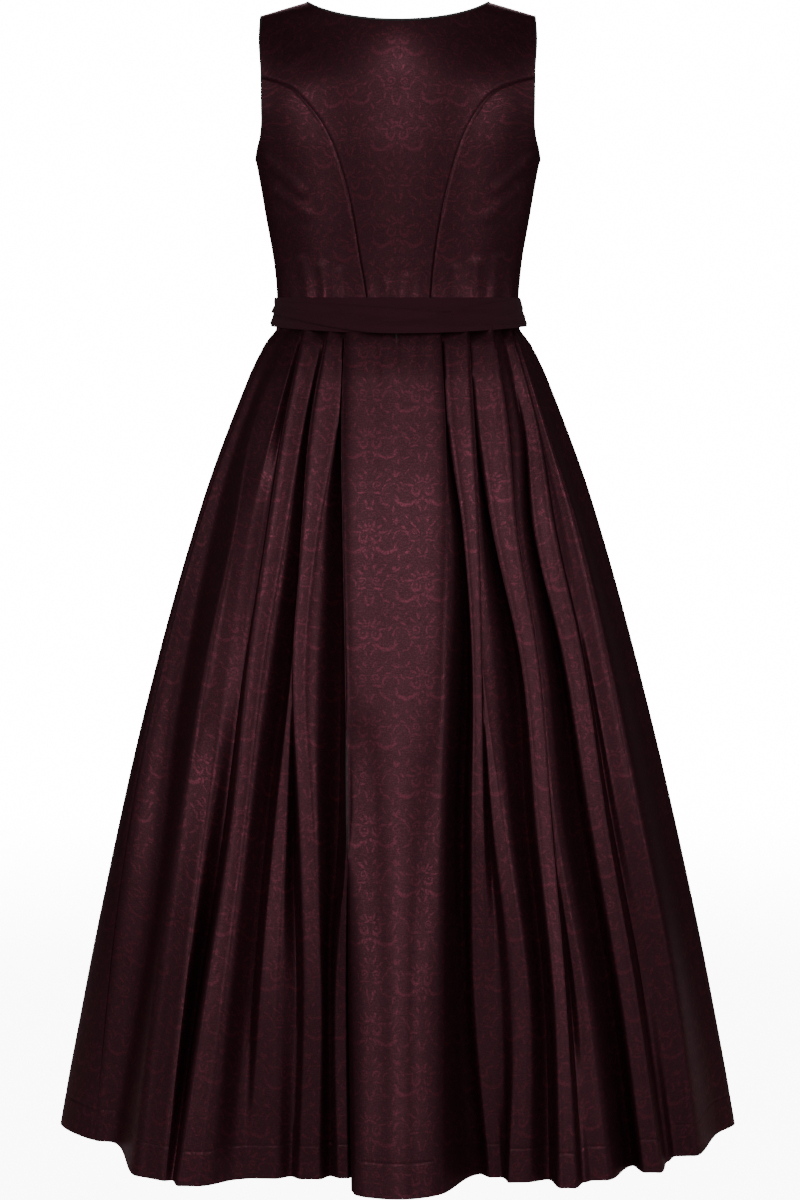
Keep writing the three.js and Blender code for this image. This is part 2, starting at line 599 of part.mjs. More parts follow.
// Outer face of the sash, with its soft rolls, or its plain inner face
function sashPoint(turn, share, inner) {
  const side = cos(turn) > 0 ? 'back' : 'front';
  const middle = cos(turn) ** 2;
  const bottom = SASH_BOTTOM.side + (SASH_BOTTOM[side] - SASH_BOTTOM.side) * middle;
  const z = bottom + (SASH_TOP - bottom) * share;
  const drift = SASH_ROLL.drift * sin(turn + SASH_ROLL.turn);
  const rolls = sin(PI * (SASH_ROLL.count * share + drift)) ** 2;
  const edge = sqrt(sin(PI * share));
  const off = inner ? -SASH_CLOTH : SASH_ROLL.height * (rolls * edge - 1 / 2);
  const wide = column(SASH, 'wide', z) + off;
  const deep = column(SASH, side, z) + off;
  return new THREE.Vector3(wide * sin(turn), -deep * cos(turn), z);
}

function sashBand() {
  const layer = (inner) => Array.from({ length: SASH_ROWS + 1 }, (_, i) => (
    Array.from({ length: SASH_ROUND }, (_, j) => sashPoint(2 * PI * j / SASH_ROUND, i / SASH_ROWS, inner))
  ));
  return wall(layer(false), layer(true), true);
}

// Knot: a soft dome with a flat back that faces the band
function sashKnot() {
  const back = (z) => column(SASH, 'front', z) + SASH_ROLL.height / 2 + LAYER_GAP;
  const ticks = Array.from({ length: KNOT.steps + 1 }, (_, k) => -1 + 2 * k / KNOT.steps);
  const layer = (domed) => ticks.map((v) => ticks.map((u) => {
    const pinch = 1 - KNOT.pinch * v * v;
    const dome = sqrt(max(0, (1 - u ** 4) * (1 - v ** 4)));
    const x = KNOT.halfWidth * sin(u * PI / 2) * pinch * sqrt(1 - v * v / KNOT.corner);
    const z = KNOT.z + KNOT.halfHeight * sin(v * PI / 2) * sqrt(1 - u * u / KNOT.corner);
    return new THREE.Vector3(x, back(z) + (domed ? KNOT.edge + KNOT.depth * dome : 0), z);
  }));
  return wall(layer(true), layer(false));
}

// Hanging end of the sash: the skirt's front panel moved out, lifted at the top to clear the band
function sashEnd(end) {
  const centre = BACK_LINES.length + FRONT_LINES.findIndex((fold) => fold.line === 'front centre');
  const shares = Array.from({ length: SASH_END.columns + 1 }, (_, k) => k / SASH_END.columns);
  const places = shares.map((share) => centre + end.inner + (end.outer - end.inner) * share);
  const ticks = Array.from({ length: SASH_END.steps + 1 }, (_, k) => k / SASH_END.steps);
  const layers = [SASH_END.gap, SASH_END.gap + SASH_END.cloth].map((off) => ticks.map((tick) => (
    places.map((fold, j) => {
      const bottom = end.bottom - end.slant * shares[j];
      const z = SASH_END.top + (bottom - SASH_END.top) * tick;
      const spot = skirtGrid([fold], [z])[0][0];
      const lift = SASH_END.lift * exp((z - SASH_END.top) / SASH_END.settle);
      const wave = SASH_END.wave * tick * (1 - cos(2 * PI * shares[j]));
      return spot.point.addScaledVector(spot.out, off + lift + wave);
    })
  )));
  return wall(layers[1], layers[0]);
}

function named(name, geometry, finish) {
  const mesh = geometry.isMesh ? geometry : new THREE.Mesh(geometry, finish);
  mesh.name = name;
  return mesh;
}

function bodice() {
  const group = new THREE.Group();
  const back = backCentre();
  const front = { left: frontCentre('left', -1), right: frontCentre('right', 1) };
  group.add(named('bodice_back_centre', panelWall(back, BODICE_CLOTH), SATIN));
  for (const [hand, mirror] of [['left', -1], ['right', 1]]) {
    const backSide = sidePanel(BACK, hand, mirror);
    const frontSide = sidePanel(FRONT, hand, mirror);
    const armhole = armholeEdge(mirror, back, backSide, frontSide, front[hand]);
    group.add(named(`bodice_back_side_${hand}`, panelWall(backSide, BODICE_CLOTH), SATIN));
    group.add(named(`bodice_front_side_${hand}`, panelWall(frontSide, BODICE_CLOTH), SATIN));
    group.add(named(`bodice_front_centre_${hand}`, panelWall(front[hand], BODICE_CLOTH), SATIN));
    group.add(named(`armhole_piping_${hand}`, edgeCord(armhole, ARMHOLE_CORD, true), CORD));
  }
  const neck = neckEdge(front.right, back, front.left);
  group.add(named('neck_piping', edgeCord(neck, NECK_CORD, false), CORD));
  const strip = placketGrid(front.left, front.right);
  group.add(named('front_placket', placket(strip), SATIN));
  for (let k = 0; k < BUTTON.count; k++) {
    const z = BUTTON.first + (BUTTON.last - BUTTON.first) * k / (BUTTON.count - 1);
    group.add(named(`button_${k + 1}`, button(strip, z)));
  }
  return group;
}

function skirtAndSash() {
  const group = new THREE.Group();
  const rightSeam = BACK_LINES.length - 1;
  const leftSeam = BACK_LINES.length + FRONT_LINES.length;
  group.add(named('skirt_back', skirt(0, rightSeam, BACK_STEPS_PER_FOLD), SATIN));
  group.add(named('skirt_front', skirt(rightSeam, leftSeam, FRONT_STEPS_PER_FOLD), SATIN));
  group.add(named('sash_band', sashBand(), SASH_CRAPE));
  group.add(named('sash_knot', sashKnot(), SASH_CRAPE));
  for (const end of SASH_ENDS) group.add(named(end.name, sashEnd(end), SASH_CRAPE));
  return group;
}

const dress = new THREE.Group();
dress.add(bodice(), skirtAndSash());
export default dress;
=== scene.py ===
import math

import bpy
import numpy as np
from mathutils import Matrix, Vector


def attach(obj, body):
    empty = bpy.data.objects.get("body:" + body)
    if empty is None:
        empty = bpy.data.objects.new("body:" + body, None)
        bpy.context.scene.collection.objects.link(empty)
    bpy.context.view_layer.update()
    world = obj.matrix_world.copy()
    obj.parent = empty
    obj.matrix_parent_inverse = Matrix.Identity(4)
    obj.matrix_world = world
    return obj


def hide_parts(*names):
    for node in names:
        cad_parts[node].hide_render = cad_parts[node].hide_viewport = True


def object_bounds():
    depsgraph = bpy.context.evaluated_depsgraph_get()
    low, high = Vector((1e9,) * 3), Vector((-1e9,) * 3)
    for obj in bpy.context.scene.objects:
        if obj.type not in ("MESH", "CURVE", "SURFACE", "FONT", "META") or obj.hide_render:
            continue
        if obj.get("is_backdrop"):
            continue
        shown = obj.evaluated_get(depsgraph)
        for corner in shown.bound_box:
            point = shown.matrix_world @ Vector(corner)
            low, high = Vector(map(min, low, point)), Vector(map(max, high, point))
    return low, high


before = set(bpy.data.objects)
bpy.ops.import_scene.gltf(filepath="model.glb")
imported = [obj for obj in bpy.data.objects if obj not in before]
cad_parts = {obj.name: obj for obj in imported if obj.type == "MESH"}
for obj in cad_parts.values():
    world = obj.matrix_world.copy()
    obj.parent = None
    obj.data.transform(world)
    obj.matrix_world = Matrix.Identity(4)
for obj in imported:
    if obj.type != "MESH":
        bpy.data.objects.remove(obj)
cad_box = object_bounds()

MM = 0.001
BACK = {"name": "back", "sign": -1}
FRONT = {"name": "front", "sign": 1}

# Camera of the photograph in metres and degrees, found from the hem's curve and the skirt's length
CAMERA_PLACE = (0.0024, -4.0, -0.338)
CAMERA_PITCH = 5.0575
CAMERA_LENS = 101.69
SENSOR = 36.0

# Pale floor: height, radius and where it fades out in metres, its colour and its own glow
FLOOR = {"height": -1.4, "radius": 3.4, "fade": (3.3, 1.2), "grey": (0.86, 0.86, 0.86, 1), "glow": 0.6}

# Brightness of the pale studio as the camera sees it, and as the cloth feels it
SEEN_STUDIO = 16.0
FELT_STUDIO = 0.06

# Cloth thickness and gaps; the hem is turned up, so its cloth is thicker
BODICE_CLOTH = 1.3
SKIRT_CLOTH = 1.2
HEM_EXTRA = 0.9
SASH_CLOTH = 2.2
PLACKET_CLOTH = 1.2
SEAM_GAP = 0.3
LAYER_GAP = 0.4

# Main heights and widths
WAIST = -364
NECK_HALF_WIDTH = 106
STRAP_OUTER_EDGE = 158
NECK = {"back": (28.6, 0.7), "front": (118, 0.5)}
UNDERARM = -178
SHOULDER = {"height": 41.05, "slope": 0.3, "peak": 30, "rounding": 120}

# Hollow form of the bodice: half width, and depth behind and in front of the side seams
TORSO = {
    "z": [8, -52, -112, -152, -178, -198, -245, -291, -334, -364],
    "wide": [184, 184, 180, 172, 166, 162, 154, 146, 142, 143],
    "back": [106, 108, 108, 107, 105, 103, 98, 93, 90, 92],
    "front": [116, 118, 121, 124, 126, 125, 117, 107, 100, 99],
}
BUST = {"x": 77, "z": -200, "reach": 24, "half_width": 50, "half_height": 52}
# Armhole's cut edge by height: its turn round the bodice in degrees, 90 at the side seam
ARMHOLE = {
    "z": [-8, -36, -82, -128, -152, -166, -174, UNDERARM],
    "back": [59.2, 59.8, 59.1, 61.9, 67.6, 75.5, 82.5, 90],
    "front": [59.2, 57.4, 54.5, 58.0, 65.5, 74.5, 82.0, 90],
}
# Curved seams between the centre and side panels: distance from the middle by height
PRINCESS = {
    "back": {
        "z": [-82, -92, -105, -140, -182, -235, -288, -342, -364],
        "left": [157, 128, 112, 85, 67, 53, 44, 35, 33],
        "right": [157, 125, 104, 80, 64, 51, 42, 37, 35],
    },
    "front": {
        "z": [-90, -102, -125, -165, -205, -245, -291, -334, -364],
        "left": [149, 136, 119, 97, 83, 76, 68, 62, 60],
        "right": [149, 136, 119, 97, 83, 76, 68, 62, 60],
    },
}
# Places across the neck and strap, from the middle to the strap's outer edge
BACK_NECK_STEPS = [0, 30, 60, 84, 97, 106, 132, 158]
FRONT_NECK_STEPS = [0, 12, 36, 62, 84, 99, 106, 132, 158]
PLACKET_HALF_WIDTH = 12

# Skirt: half width and half depth of its base by height
SKIRT = {
    "z": [-364, -374, -389, -432, -574, -811, -1052, -1240, -1322],
    "wide": [142.6, 144.5, 156, 177, 230, 296, 352, 390, 405],
    "deep": [94, 97, 107, 129, 175, 226, 268, 292, 300],
}
PLEAT_RELEASE = 30
HEM = -1322
HEM_DEPTH = 38
# Fold lines at the sides and in front: turn in degrees and reach off the base in mm at each station
STATIONS = [-372, -541, -785, -1002, -1322]
LEFT_SIDE_LINES = [
    ("left side seam", (-77, -79, -76, -72, -70.5), (0, 0, 2, -2, -28)),
    ("left side valley", (-66, -70, -67, -61.5, -66), (-2, -8, -16, -26, -44)),
]
RIGHT_SIDE_LINES = [
    ("right side valley", (73, 72, 76, 76, 78), (-1, -7, -9, -12, -19)),
    ("right side seam", (90, 90, 90, 90, 90), (0, 0, 0, 0, 0)),
]
# Pleats of the skirt back from left to right. Each has a face, and beyond it a flank with a valley,
# which lies under the next pleat's edge or under the pleat's own. Columns, in mm at each height:
# where the face starts and ends (x), how far the face and the valley stand off the base, the share
# of the base's own slope that the face keeps (one for all heights, or one for each), and whose edge
# the valley lies under
PLEAT_STATIONS = [-372, -480, -600, -750, -930, -1120, -1322]
PLEATS = [
    ("left third",
     (-122, -167, -186, -217, -248, -275, -298), (-112, -142, -171, -192, -217, -240, -262),
     (2, 11, 17, 22, 24, 30, 44), (0, 0, 2, 2, -2, -4, 36), (1, 1, 0.4, 0.15, 0.7, 1, 1), "next"),
    ("left second",
     (-108, -130, -148, -169, -187, -216, -246), (-86, -107, -127, -152, -172, -196, -222),
     (3, 9, 14, 17, 20, 36, 50), (-2, -5, -9, -20, -17, -10, -6), 0.15, "next"),
    ("left tuck",
     (-81.4, -100.4, -109.4, -119.6, -138, -154, -165), (-80.8, -99.8, -108.8, -119, -126, -137, -137),
     (2, 3, 4, 2, -6, -2, -16), (2, 4, 5, 4, -21, -21, -34), 0.15, "next"),
    ("left first",
     (-80, -99, -108, -118, -110, -104, -110), (-63, -68, -90, -104, -95, -86, -88),
     (3, 7, 9, 8, 0, -10, -26), (-2, -7, -20, -28, -32, -33, -44), 0.15, "next"),
    ("left inner tuck",
     (-61.4, -64.4, -62.4, -59.4, -57.4, -70, -66), (-60.8, -63.8, -61.8, -58.8, -56.8, -58, -56),
     (0, 2, 2, 2, 4, -28, -36), (0, 3, 4, 4, 6, -37, -42), 0.15, "next"),
    ("centre panel",
     (-60, -63, -61, -58, -56, -53, -48), (49, 54, 54, 51, 48, 46, 40),
     (1, 5, 7, 9, 15, 32, 52), (-2, -5, -9, -22, -34, -42, -50), (0.6, 0.6, 0.6, 1, 4.5, 9, 10), "next"),
    ("right first",
     (52, 57, 74, 84, 83, 85, 103), (80, 86, 91, 94, 96, 103, 117),
     (3, 6, 6, 5, -3, -22, -32), (1, 3, 2, -2, -8, -18, -24), 0.15, "own"),
    ("right tuck",
     (80.8, 86.8, 91.8, 95, 108, 131, 124), (81.4, 87.4, 92.4, 96, 120, 144, 142),
     (1, 2, 0, -6, 6, 2, -4), (-1, -6, -14, -20, -12, -8, -6), 0.15, "next"),
    ("right second",
     (83.5, 90, 108, 140, 156, 175, 180), (110, 126, 135, 159, 173, 188, 198),
     (3, 7, 9, 14, 18, 30, 38), (2, 6, 8, 13, 15, 4, 22), -0.05, "own"),
    ("right outer tuck",
     (110.8, 126.8, 135.8, 159.8, 175, 201, 219), (111.4, 127.4, 136.6, 160.6, 177, 211, 236),
     (2, 6, 8, 12, 14, 14, 22), (0, -1, -3, -7, -9, -10, -20), 0.15, "next"),
    ("right third",
     (120, 145, 155, 189, 218, 251, 278), (131, 160, 179, 211, 237, 270, 298),
     (4, 10, 18, 22, 24, 26, 25), (0, 4, 8, 10, 8, 2, -6), -0.05, "own"),
    ("right fourth",
     (133, 162, 190, 219, 253, 293, 320), (136, 169, 206, 241, 278, 316, 345),
     (2, 8, 18, 26, 30, 22, -10), None, 0.1, None),
]
# Width of a pleat's folded edge where it is pressed, and lower down where it has gone soft
PLEAT_EDGE = (2.6, 10.0)
SOFT_FROM = -620
SOFT_OVER = 330
CENTRE_PANEL = [pleat[0] for pleat in PLEATS].index("centre panel")
FACE_STEPS = 3
FLANK_STEPS = 4
FRONT_LINES = [
    ("right first valley", (106, 107, 108, 108, 109), (-2, -6, -10, -14, -20)),
    ("right first crest", (115, 117, 119, 121, 121), (2, 6, 12, 20, 28)),
    ("right second valley", (124, 127, 130, 132, 131), (-2, -8, -14, -20, -30)),
    ("right second crest", (133, 137, 139, 142, 142), (3, 8, 15, 22, 30)),
    ("right third valley", (141, 146, 149, 151, 150), (-3, -8, -16, -24, -32)),
    ("right third crest", (149, 153, 156, 159, 158), (2, 7, 13, 18, 28)),
    ("right panel valley", (157, 161, 164, 166, 167), (-3, -9, -18, -26, -36)),
    ("right panel edge", (161.5, 165, 168, 169.6, 170), (1, 6, 11, 15, 20)),
    ("front centre", (180, 180, 180, 180, 180), (0, 4, 9, 15, 24)),
    ("left panel edge", (198.5, 195, 192, 190.4, 190), (1, 6, 11, 15, 20)),
    ("left panel valley", (203, 199, 196, 194, 193), (-3, -10, -19, -28, -38)),
    ("left third crest", (210, 207, 204, 201, 202), (2, 7, 12, 20, 26)),
    ("left third valley", (219, 215, 212, 210, 211), (-3, -8, -15, -22, -34)),
    ("left second crest", (228, 224, 221, 219, 220), (3, 8, 14, 20, 32)),
    ("left second valley", (237, 234, 231, 229, 231), (-2, -7, -15, -22, -28)),
    ("left first crest", (245, 244, 242, 241, 242), (2, 7, 13, 18, 26)),
    ("left first valley", (257, 256, 255, 254, 255), (-2, -6, -9, -14, -20)),
    ("left side crest", (270, 270, 270, 270, 270), (0, 0, 0, 0, 0)),
]
FRONT_CENTRE = [line[0] for line in FRONT_LINES].index("front centre")

# Small creases of the skirt under the sash: heights, x at each height, rise and width, in mm
BACK_CREASES = [
    ((-366, -395, -420), (-1, 0, 1), -1.6, 2.2),
    ((-366, -400, -450), (-31, -27, -22), -1.0, 3.0),
    ((-366, -390, -430), (24, 26, 27), -0.8, 2.6),
]

# Soft folds that run down the bodice onto the waist, and drags by the armholes: x and z of each,
# depth and width in mm
BODICE_FOLDS = [
    ((-88, -300, -84, -338), 1.3, 6.0),
    ((-66, -306, -62, -340), 1.1, 5.0),
    ((-112, -292, -106, -340), 1.2, 6.0),
    ((64, -302, 60, -340), 1.2, 5.5),
    ((90, -296, 84, -340), 1.4, 6.5),
    ((116, -290, 110, -338), 1.1, 6.0),
    ((-14, -318, -12, -342), 0.7, 4.5),
    ((12, -312, 10, -342), 0.8, 5.0),
    ((-152, -176, -112, -214), 1.0, 7.0),
    ((152, -176, 116, -210), 1.1, 7.0),
    ((-140, -214, -104, -240), 0.8, 7.0),
    ((138, -212, 102, -244), 0.7, 8.0),
    ((-128, -70, -98, -52), 0.6, 7.0),
    ((124, -74, 96, -50), 0.6, 7.0),
]

# Sash: its half width and depths, and its long uneven folds
SASH = {
    "z": [-333, -350, -362, -374, -380],
    "wide": [145.2, 146.6, 149, 151.4, 152.4],
    "back": [93.4, 95.6, 98.6, 101.6, 102.6],
    "front": [103.4, 105, 107.4, 110, 111],
}
SASH_TOP = -335
SASH_BOTTOM = {"back": -376, "side": -369, "front": -373}
# Each fold: turns from the back's middle in degrees, its share of the sash's height there, and its
# rise and its reach above and below in mm
SASH_FOLDS = [
    ((-180, -120, -90, -63, -40, -17, 10, 90, 135, 180),
     (0.5, 0.56, 0.5, 0.40, 0.22, 0.05, -0.08, -0.05, 0.25, 0.5), 3.04, 15.0, 0.7),
    ((-108, -75, -50, -29, -14), (0.80, 0.70, 0.58, 0.50, 0.47), -1.92, 2.6, 4.0),
    ((4, 12, 33, 70, 112), (0.34, 0.40, 0.68, 0.93, 1.05), -1.76, 2.4, 4.0),
    ((-66, -20, 20, 60, 104), (0.90, 0.80, 0.62, 0.42, 0.30), 1.44, 5.0, 1.8),
    ((-12, 30, 60, 104), (0.22, 0.20, 0.16, 0.10), 1.44, 4.5, 1.4),
    ((-176, -150, -112, -84), (0.30, 0.22, 0.20, 0.12), 1.76, 5.0, 1.5),
    ((-172, -140, -100), (0.84, 0.78, 0.88), -1.44, 3.0, 3.6),
    ((98, 130, 160, 176), (0.62, 0.74, 0.80, 0.76), 1.76, 6.0, 1.6),
    ((104, 140, 176), (0.12, 0.20, 0.28), -1.44, 2.6, 3.6),
]
# How far a fold takes to fade out past its ends, in degrees
SASH_FOLD_END = 16
SASH_RELIEF = {"start": -0.5, "least": -1.9, "most": 2.6, "slack": 0.12, "edge_dip": 0.7, "edge_reach": 1.4}
KNOT = {
    "half_width": 24, "half_height": 23, "depth": 10.8, "edge": 2.5, "z": -354, "pinch": 0.16, "seat": 0.65,
}
KNOT_CORNER = 3
# Folds of the knot: rise in mm, how many there are and where they start, in radians
KNOT_FOLDS = ((0.9, 9.5, 0), (0.5, 17, 1))
# Hanging ends: where each starts and stops across, in front fold lines from the middle, how low it
# ends, and how much lower its far corner is
SASH_ENDS = [
    ("sash_end_left", 0.06, 0.8, -640, 26),
    ("sash_end_right", -0.1, -0.78, -604, 22),
]
SASH_END = {"cloth": 1.6, "gap": 0.5, "top": -385, "lift": 8, "settle": 16, "wave": 2.2}

# Cords, buttons and stitches
NECK_CORD = 1.7
ARMHOLE_CORD = 1.3
BUTTON_ROW = {"first": -128, "last": -316, "count": 6, "turn": 0.15}
BUTTON = {
    "radius": 5.6, "height": 3.4, "lift": 0.8,
    "rim": 1.0, "slope": 0.7, "dish": 0.9, "floor": 1.6, "floor_dip": 0.2, "bevel": 0.6,
    "hole": 0.62, "hole_reach": 1.35, "hole_depth": 3.0, "hole_middle": 2.2,
    "thread_reach": 0.972, "thread_low": 2.0, "thread_high": 2.75,
}
BUTTONHOLE_BAR = ((6.2, -0.62), (7.2, -0.55), (8.2, -0.66))
STITCH = {"length": 2.6, "gap": 1.1, "radius": 0.28, "inset": 2.4, "sunk": 0.25, "arch": (-0.1, 0.14, -0.1)}
STITCH_SIDES = 6
STITCH_TAPER = (0.7, 1.0, 0.7)
# Dips of the placket strip in mm, depth and width: along its topstitching, and at its rounded edges
STITCHED_DIP = (0.3, 0.7)
ROUNDED_EDGE = (0.5, 1.2)

# Dips along the bodice's seams in mm: depth, and reach from the seam
SEAM_DIPS = {
    "back curve": (1.8, 3.4), "front curve": (1.5, 7.0), "side curve": (1.8, 1.7), "side": (0.8, 3.0),
}
# Dip along the skirt's side edges in mm: depth and reach
SKIRT_EDGE_DIP = (0.9, 3.0)
# The hem's stitch line in mm; the waves here and in the next two tables are in mm for each radian
HEM_STITCH = {"depth": 0.55, "half_width": 1.3, "wave": 1.1}
# Unevenness of the cloth: rise, and its waves across and up
SLACK = {"bodice": (0.35, 34, 34), "skirt": (0.7, 46, 210), "placket": (0.15, 9, 14)}
# Gathers beside the sash: rise and wave, how far the wave drifts and over what, and reach from the sash
GATHERS = {"bodice": (0.5, 3.4, 1.3, 17, 16), "skirt": (0.5, 3.1, 1.8, 19, 26)}
GATHERS_START = WAIST - 8

# Ornament of the jacquard, in mm from its middle, mirrored left and right: curls as x, y, start in
# turns, pitch and radius; arcs as x, y, their two radii and the heights between which they run;
# leaves as x, y, turn in degrees, half length and half width; and dots as x, y and size.
# The hooks are a round shape less a second one inside it: x, y and the two radii of each
HOOK = ((7.6, -0.5, 5.8, 6.6), (7.2, 1.9, 3.7, 5.3))
CURLS = [(51.8, 6, 0.62, 3.9, 5.2)]
ARCS = [(36, 0, 9, 9, -3, 10), (19, 2, 15, 19, -27, -9)]
LEAVES = [
    (14.8, 6.4, 8, 5.6, 1.4), (3.6, 9.0, -24, 4.6, 1.3), (5.2, 15.0, 62, 4.2, 1.4),
    (10.5, 12.8, 34, 4.0, 1.2), (5.4, -13.4, 118, 4.4, 1.4), (3.6, -21.0, 70, 4.0, 1.2),
    (48.6, 16.2, -42, 5.6, 1.4), (54.5, 21.0, -60, 4.2, 1.3), (51.0, -3.0, 4, 6.0, 1.3),
    (30.0, 19.0, 16, 4.8, 1.4), (31.0, 19.4, 76, 4.4, 1.2), (29.0, 18.6, 136, 4.6, 1.2),
    (29.0, -8.0, 58, 4.2, 1.3), (33.0, -22.0, 98, 4.4, 1.2), (41.0, -17.0, 24, 4.8, 1.3),
    (47.0, -10.5, 74, 4.0, 1.2), (23.0, 7.0, 50, 4.2, 1.2), (38.0, 12.0, 150, 3.8, 1.2),
    (56.0, -15.0, 110, 4.4, 1.4), (17.0, 22.0, 120, 4.0, 1.2),
]
DOTS = [(7.2, 1.6, 1.3), (0, 13.5, 1.8), (0, -10.0, 1.8), (42, 24, 1.5), (58, -21, 1.6)]
REPEAT_ACROSS = 120.0
REPEAT_UP = 110.0
# Where the pieces lie on the repeat, in mm: up the cloth, and for the skirts across and up
PATTERN_PLACE = {
    "back centre": 5.0, "front centre": 12.0, "side": 21.0,
    "skirt back": (-28.0, 96.0), "skirt front": (0.0, 70.0),
}

# Base colours of the finishes, from the darkest shade of each to the lightest
COLOURS = {
    "satin ground": ((0.024, 0.0086, 0.0116, 1), (0.100, 0.0375, 0.0490, 1)),
    "satin thread": ((0.084, 0.0180, 0.0290, 1), (0.196, 0.0430, 0.0680, 1)),
    "wrong side": ((0.020, 0.017, 0.018, 1), (0.046, 0.038, 0.041, 1)),
    "sash": ((0.032, 0.0080, 0.0125, 1), (0.062, 0.0180, 0.0265, 1)),
    "cord": ((0.010, 0.008, 0.009, 1), (0.045, 0.038, 0.041, 1)),
    "horn": ((0.010, 0.006, 0.005, 1), (0.060, 0.030, 0.020, 1)),
    "sewing thread": ((0.050, 0.012, 0.020, 1), (0.110, 0.030, 0.044, 1)),
}
WRONG_SIDE_THREAD = (0.060, 0.030, 0.036, 1)
# Light grey of the line round the piping cord: partly a silver thread, partly a painted highlight
SILVER_THREAD_AND_HIGHLIGHT = (0.36, 0.34, 0.35, 1)

# Softboxes: place, aim and size in metres, and watts; one off the middle stands on both sides
SOFTBOXES = [
    ("tall key by the camera", (0, -4.4, 1.5), (0, 0, -0.5), (0.9, 1.4), 25),
    ("level front fill", (0, -4.4, -0.15), (0, 0, -0.25), (2.6, 0.4), 15),
    ("high front", (0, -2.9, 2.6), (0, 0, -0.5), (1.3, 0.9), 10),
    ("level fill", (3.2, -2.9, -0.05), (0, 0, -0.2), (2.0, 0.5), 18),
    ("lateral", (3.4, 0.2, 0.3), (0, 0, -0.35), (2.0, 1.2), 6),
    ("ceiling", (0, -0.4, 3.2), (0, 0, -0.6), (3.0, 3.0), 6),
    ("far side", (0, 4.2, 1.3), (0, 0, -0.5), (1.8, 2.0), 40),
]

# How finely the cloth is stepped
BACK_NECK_FINER = 8
FRONT_NECK_FINER = 7
PANEL_ROWS = 110
ARMHOLE_ROWS = 26
SIDE_SHARES = (0, 0.006, 0.012, 0.02, 0.032) + tuple(0.05 + 0.019 * k for k in range(51))
SIDE_COLUMNS = len(SIDE_SHARES)
SIDE_STEPS = 12
FACE_COLUMNS = 3
CENTRE_FACE_COLUMNS = 10
FLANK_COLUMNS = 2
EDGE_COLUMNS = 4
FRONT_COLUMNS_PER_FOLD = 11
SKIRT_ROW_STEPS = ((-440, 29), (HEM + HEM_DEPTH + 6, 91), (HEM + HEM_DEPTH - 6, 12), (HEM, 6))
SASH_ROUND = 420
SASH_ROWS = 66


# Smooth tables

def through(heights, values, z):
    """Smooth value through numbers that belong to falling heights."""
    h = np.asarray(heights, float)
    v = np.asarray(values, float)
    z = np.asarray(z, float)
    last = len(h) - 1
    i = np.clip(np.searchsorted(-h, -z, side="left"), 1, last)
    below = np.minimum(np.arange(last + 1) + 1, last)
    above = np.maximum(np.arange(last + 1) - 1, 0)
    slope = (v[below] - v[above]) / (h[below] - h[above])
    step = h[i] - h[i - 1]
    t = np.clip((z - h[i - 1]) / step, 0, 1)
    bend = t * t * (3 - 2 * t)
    lead = t * (1 - t) ** 2 * slope[i - 1] * step
    trail = t * t * (1 - t) * slope[i] * step
    return v[i - 1] + (v[i] - v[i - 1]) * bend + lead - trail


def column(table, name, z):
    return through(table["z"], table[name], z)


def unit(vectors):
    return vectors / np.maximum(np.linalg.norm(vectors, axis=-1, keepdims=True), 1e-9)


def ease(t):
    t = np.clip(t, 0, 1)
    return t * t * (3 - 2 * t)


def uneven(a, b, seed):
    """Gentle unevenness over two coordinates, mostly between -1 and 1 and the same on every run."""
    draw = np.random.default_rng(seed)
    total = np.zeros(np.broadcast(a, b).shape)
    for _ in range(7):
        turn, pitch, start = draw.uniform(0, 2 * math.pi), draw.uniform(0.6, 1.7), draw.uniform(0, 6.3)
        total = total + np.sin(pitch * (a * math.cos(turn) + b * math.sin(turn)) + start)
    return total / 4


def slack(name, across, up, seed):
    rise, wave_across, wave_up = SLACK[name]
    return rise * uneven(across / wave_across, up / wave_up, seed)


def gathers(name, along, away):
    """Small gathers beside the sash, from places along the cloth and away from the sash in mm."""
    rise, wave, drift, drift_wave, reach = GATHERS[name]
    fade = np.exp(-np.clip(away, 0, None) / reach)
    return rise * fade * np.sin(along / wave + drift * np.sin(along / drift_wave))


# Bodice surface

def shoulder_height(x):
    return SHOULDER["height"] - SHOULDER["slope"] * np.hypot(x, SHOULDER["peak"])


def depth_squared(side, x, z):
    wide = column(TORSO, "wide", z)
    depth = column(TORSO, side["name"], z)
    drop = np.minimum(SHOULDER["rounding"], shoulder_height(x) - z)
    rounding = 1 - (1 - drop / SHOULDER["rounding"]) ** 2
    bust = 0
    if side is FRONT:
        off_x = (np.abs(x) - BUST["x"]) / BUST["half_width"]
        off_z = (z - BUST["z"]) / BUST["half_height"]
        bust = BUST["reach"] * np.exp(-off_x ** 2 - off_z ** 2)
    filled = rounding * depth ** 2 + 2 * np.sqrt(np.maximum(0, rounding)) * depth * bust + bust ** 2
    return (1 - (x / wide) ** 2) * filled


def on_torso(side, deg, z):
    """Points of the bodice's outer face in mm, and the directions straight out of the cloth."""
    x = column(TORSO, "wide", z) * np.sin(np.radians(deg))
    y = side["sign"] * np.sqrt(np.maximum(0, depth_squared(side, x, z)))
    step = 0.5
    slope_x = (depth_squared(side, x + step, z) - depth_squared(side, x - step, z)) / (2 * step)
    slope_z = (depth_squared(side, x, z + step) - depth_squared(side, x, z - step)) / (2 * step)
    return np.stack([x, y, z], axis=-1), unit(np.stack([-slope_x, 2 * y, -slope_z], axis=-1))


def degrees_at(x, z):
    return np.degrees(np.arcsin(np.clip(x / column(TORSO, "wide", z), -1, 1)))


def line_of(deg, z):
    return np.stack(np.broadcast_arrays(np.asarray(deg, float), np.asarray(z, float)), axis=-1)


def princess(side, hand, mirror):
    rows = PRINCESS[side["name"]]
    z = np.linspace(WAIST, rows["z"][0], PANEL_ROWS)
    return line_of(degrees_at(mirror * column(rows, hand, z), z), z)


